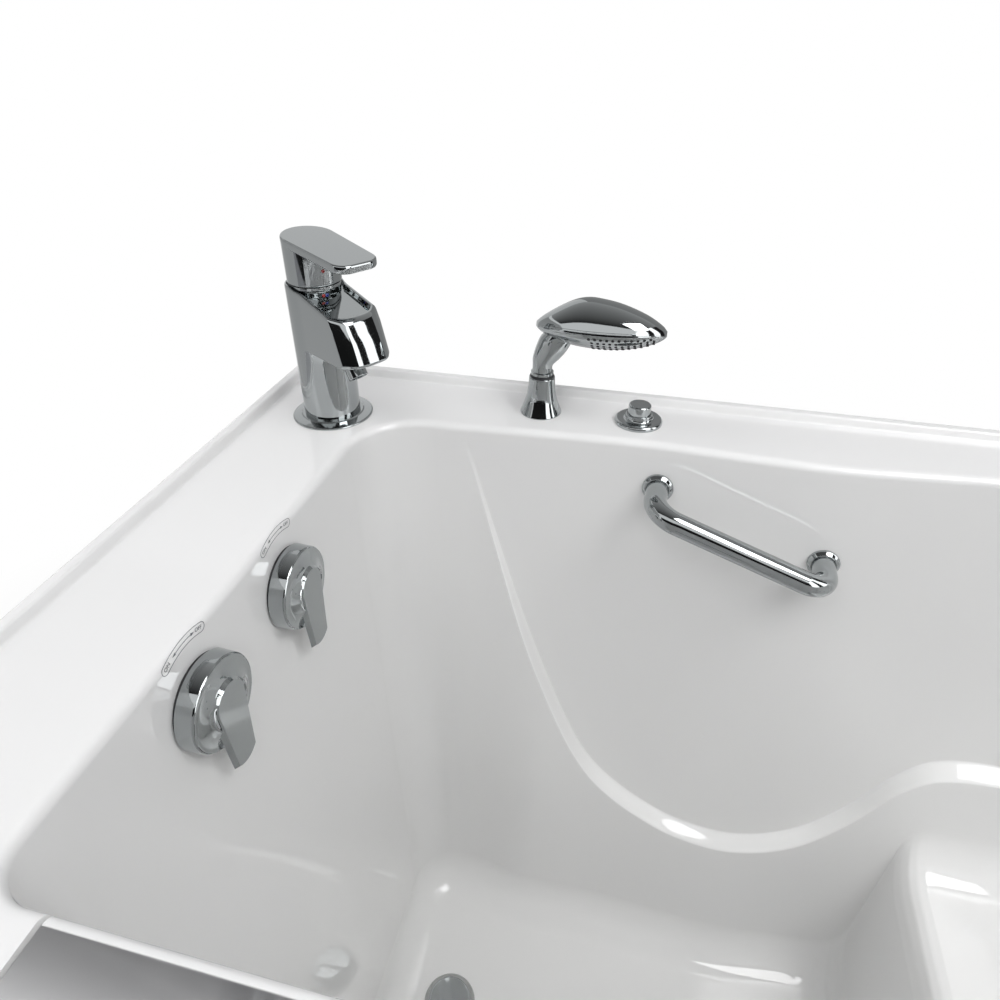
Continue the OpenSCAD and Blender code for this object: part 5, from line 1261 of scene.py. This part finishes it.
def studio_floor(colour):
    """A floor that keeps the tub's shadow and fades to white further off."""
    bpy.ops.object.select_all(action="DESELECT")
    bpy.ops.mesh.primitive_plane_add(size=16)
    floor = bpy.context.object
    floor.name = "studio_floor"
    place(floor, shift(0, 0, -0.5))
    mat, tree, shader, where = surface("painted_studio_floor", {
        "Base Color": (*colour, 1.0), "IOR": 1.45})
    grain(tree, shader, where, 20, (0.6, 0.8), 0, EVEN, 3.0)
    path = add(tree, "LightPath")
    away = add(tree, "VectorMath", {0: where}, operation="LENGTH")
    fade = add(tree, "MapRange", {
        "Value": away.outputs["Value"], "From Min": FLOOR_FADE[0], "From Max": FLOOR_FADE[1],
        "To Min": 0.65, "To Max": 1.0})
    part = add(tree, "Math", {0: path.outputs["Is Camera Ray"], 1: fade.outputs["Result"]},
               operation="MULTIPLY")
    glow = add(tree, "Emission", {"Color": WHITE, "Strength": 1.0})
    mix = add(tree, "MixShader", {
        0: part.outputs["Value"], 1: shader.outputs[0], 2: glow.outputs[0]})
    tree.links.new(mix.outputs[0], tree.nodes["Material Output"].inputs["Surface"])
    floor.data.materials.append(mat)


class TUB_OT_stage(bpy.types.Operator):
    """Set up the studio: camera, world, floor, lamps and cards"""
    bl_idname = "tub.stage"
    bl_label = "Studio"

    def execute(self, context):
        context.scene.view_settings.view_transform = "Standard"
        studio_camera()
        studio_world()
        studio_floor(context.scene.tub_colours.floor)
        for lamp in LAMPS:
            softbox(*lamp)
        for card in CARDS:
            reflector_card(*card)
        return {"FINISHED"}


class TUB_PT_panel(bpy.types.Panel):
    """Lists the steps that build the bathtub"""
    bl_idname = "TUB_PT_panel"
    bl_label = "Walk-in bathtub"
    bl_space_type = "VIEW_3D"
    bl_region_type = "UI"
    bl_category = "Bathtub"

    def draw(self, context):
        sizes, colours = context.scene.tub_sizes, context.scene.tub_colours
        for group in (sizes, colours):
            for key in group.__annotations__:
                self.layout.prop(group, key)
        for step in STEPS:
            self.layout.operator(step.bl_idname)


STEPS = (TUB_OT_shell, TUB_OT_door, TUB_OT_latch, TUB_OT_cabinet, TUB_OT_mixer,
         TUB_OT_hand_shower, TUB_OT_air_button, TUB_OT_grab_bar, TUB_OT_drain_knobs,
         TUB_OT_drains, TUB_OT_jets, TUB_OT_stage)
CLASSES = (TubSizes, TubColours, *STEPS, TUB_PT_panel)


def register():
    for cls in CLASSES:
        bpy.utils.register_class(cls)
    bpy.types.Scene.tub_sizes = bpy.props.PointerProperty(type=TubSizes)
    bpy.types.Scene.tub_colours = bpy.props.PointerProperty(type=TubColours)


def unregister():
    del bpy.types.Scene.tub_sizes
    del bpy.types.Scene.tub_colours
    for cls in reversed(CLASSES):
        bpy.utils.unregister_class(cls)


def main():
    register()
    bpy.ops.tub.shell()
    bpy.ops.tub.door()
    bpy.ops.tub.latch()
    bpy.ops.tub.cabinet()
    bpy.ops.tub.mixer()
    bpy.ops.tub.hand_shower()
    bpy.ops.tub.air_button()
    bpy.ops.tub.grab_bar()
    bpy.ops.tub.drain_knobs()
    bpy.ops.tub.drains()
    bpy.ops.tub.jets()
    bpy.ops.tub.stage()


if __name__ == "__main__":
    main()
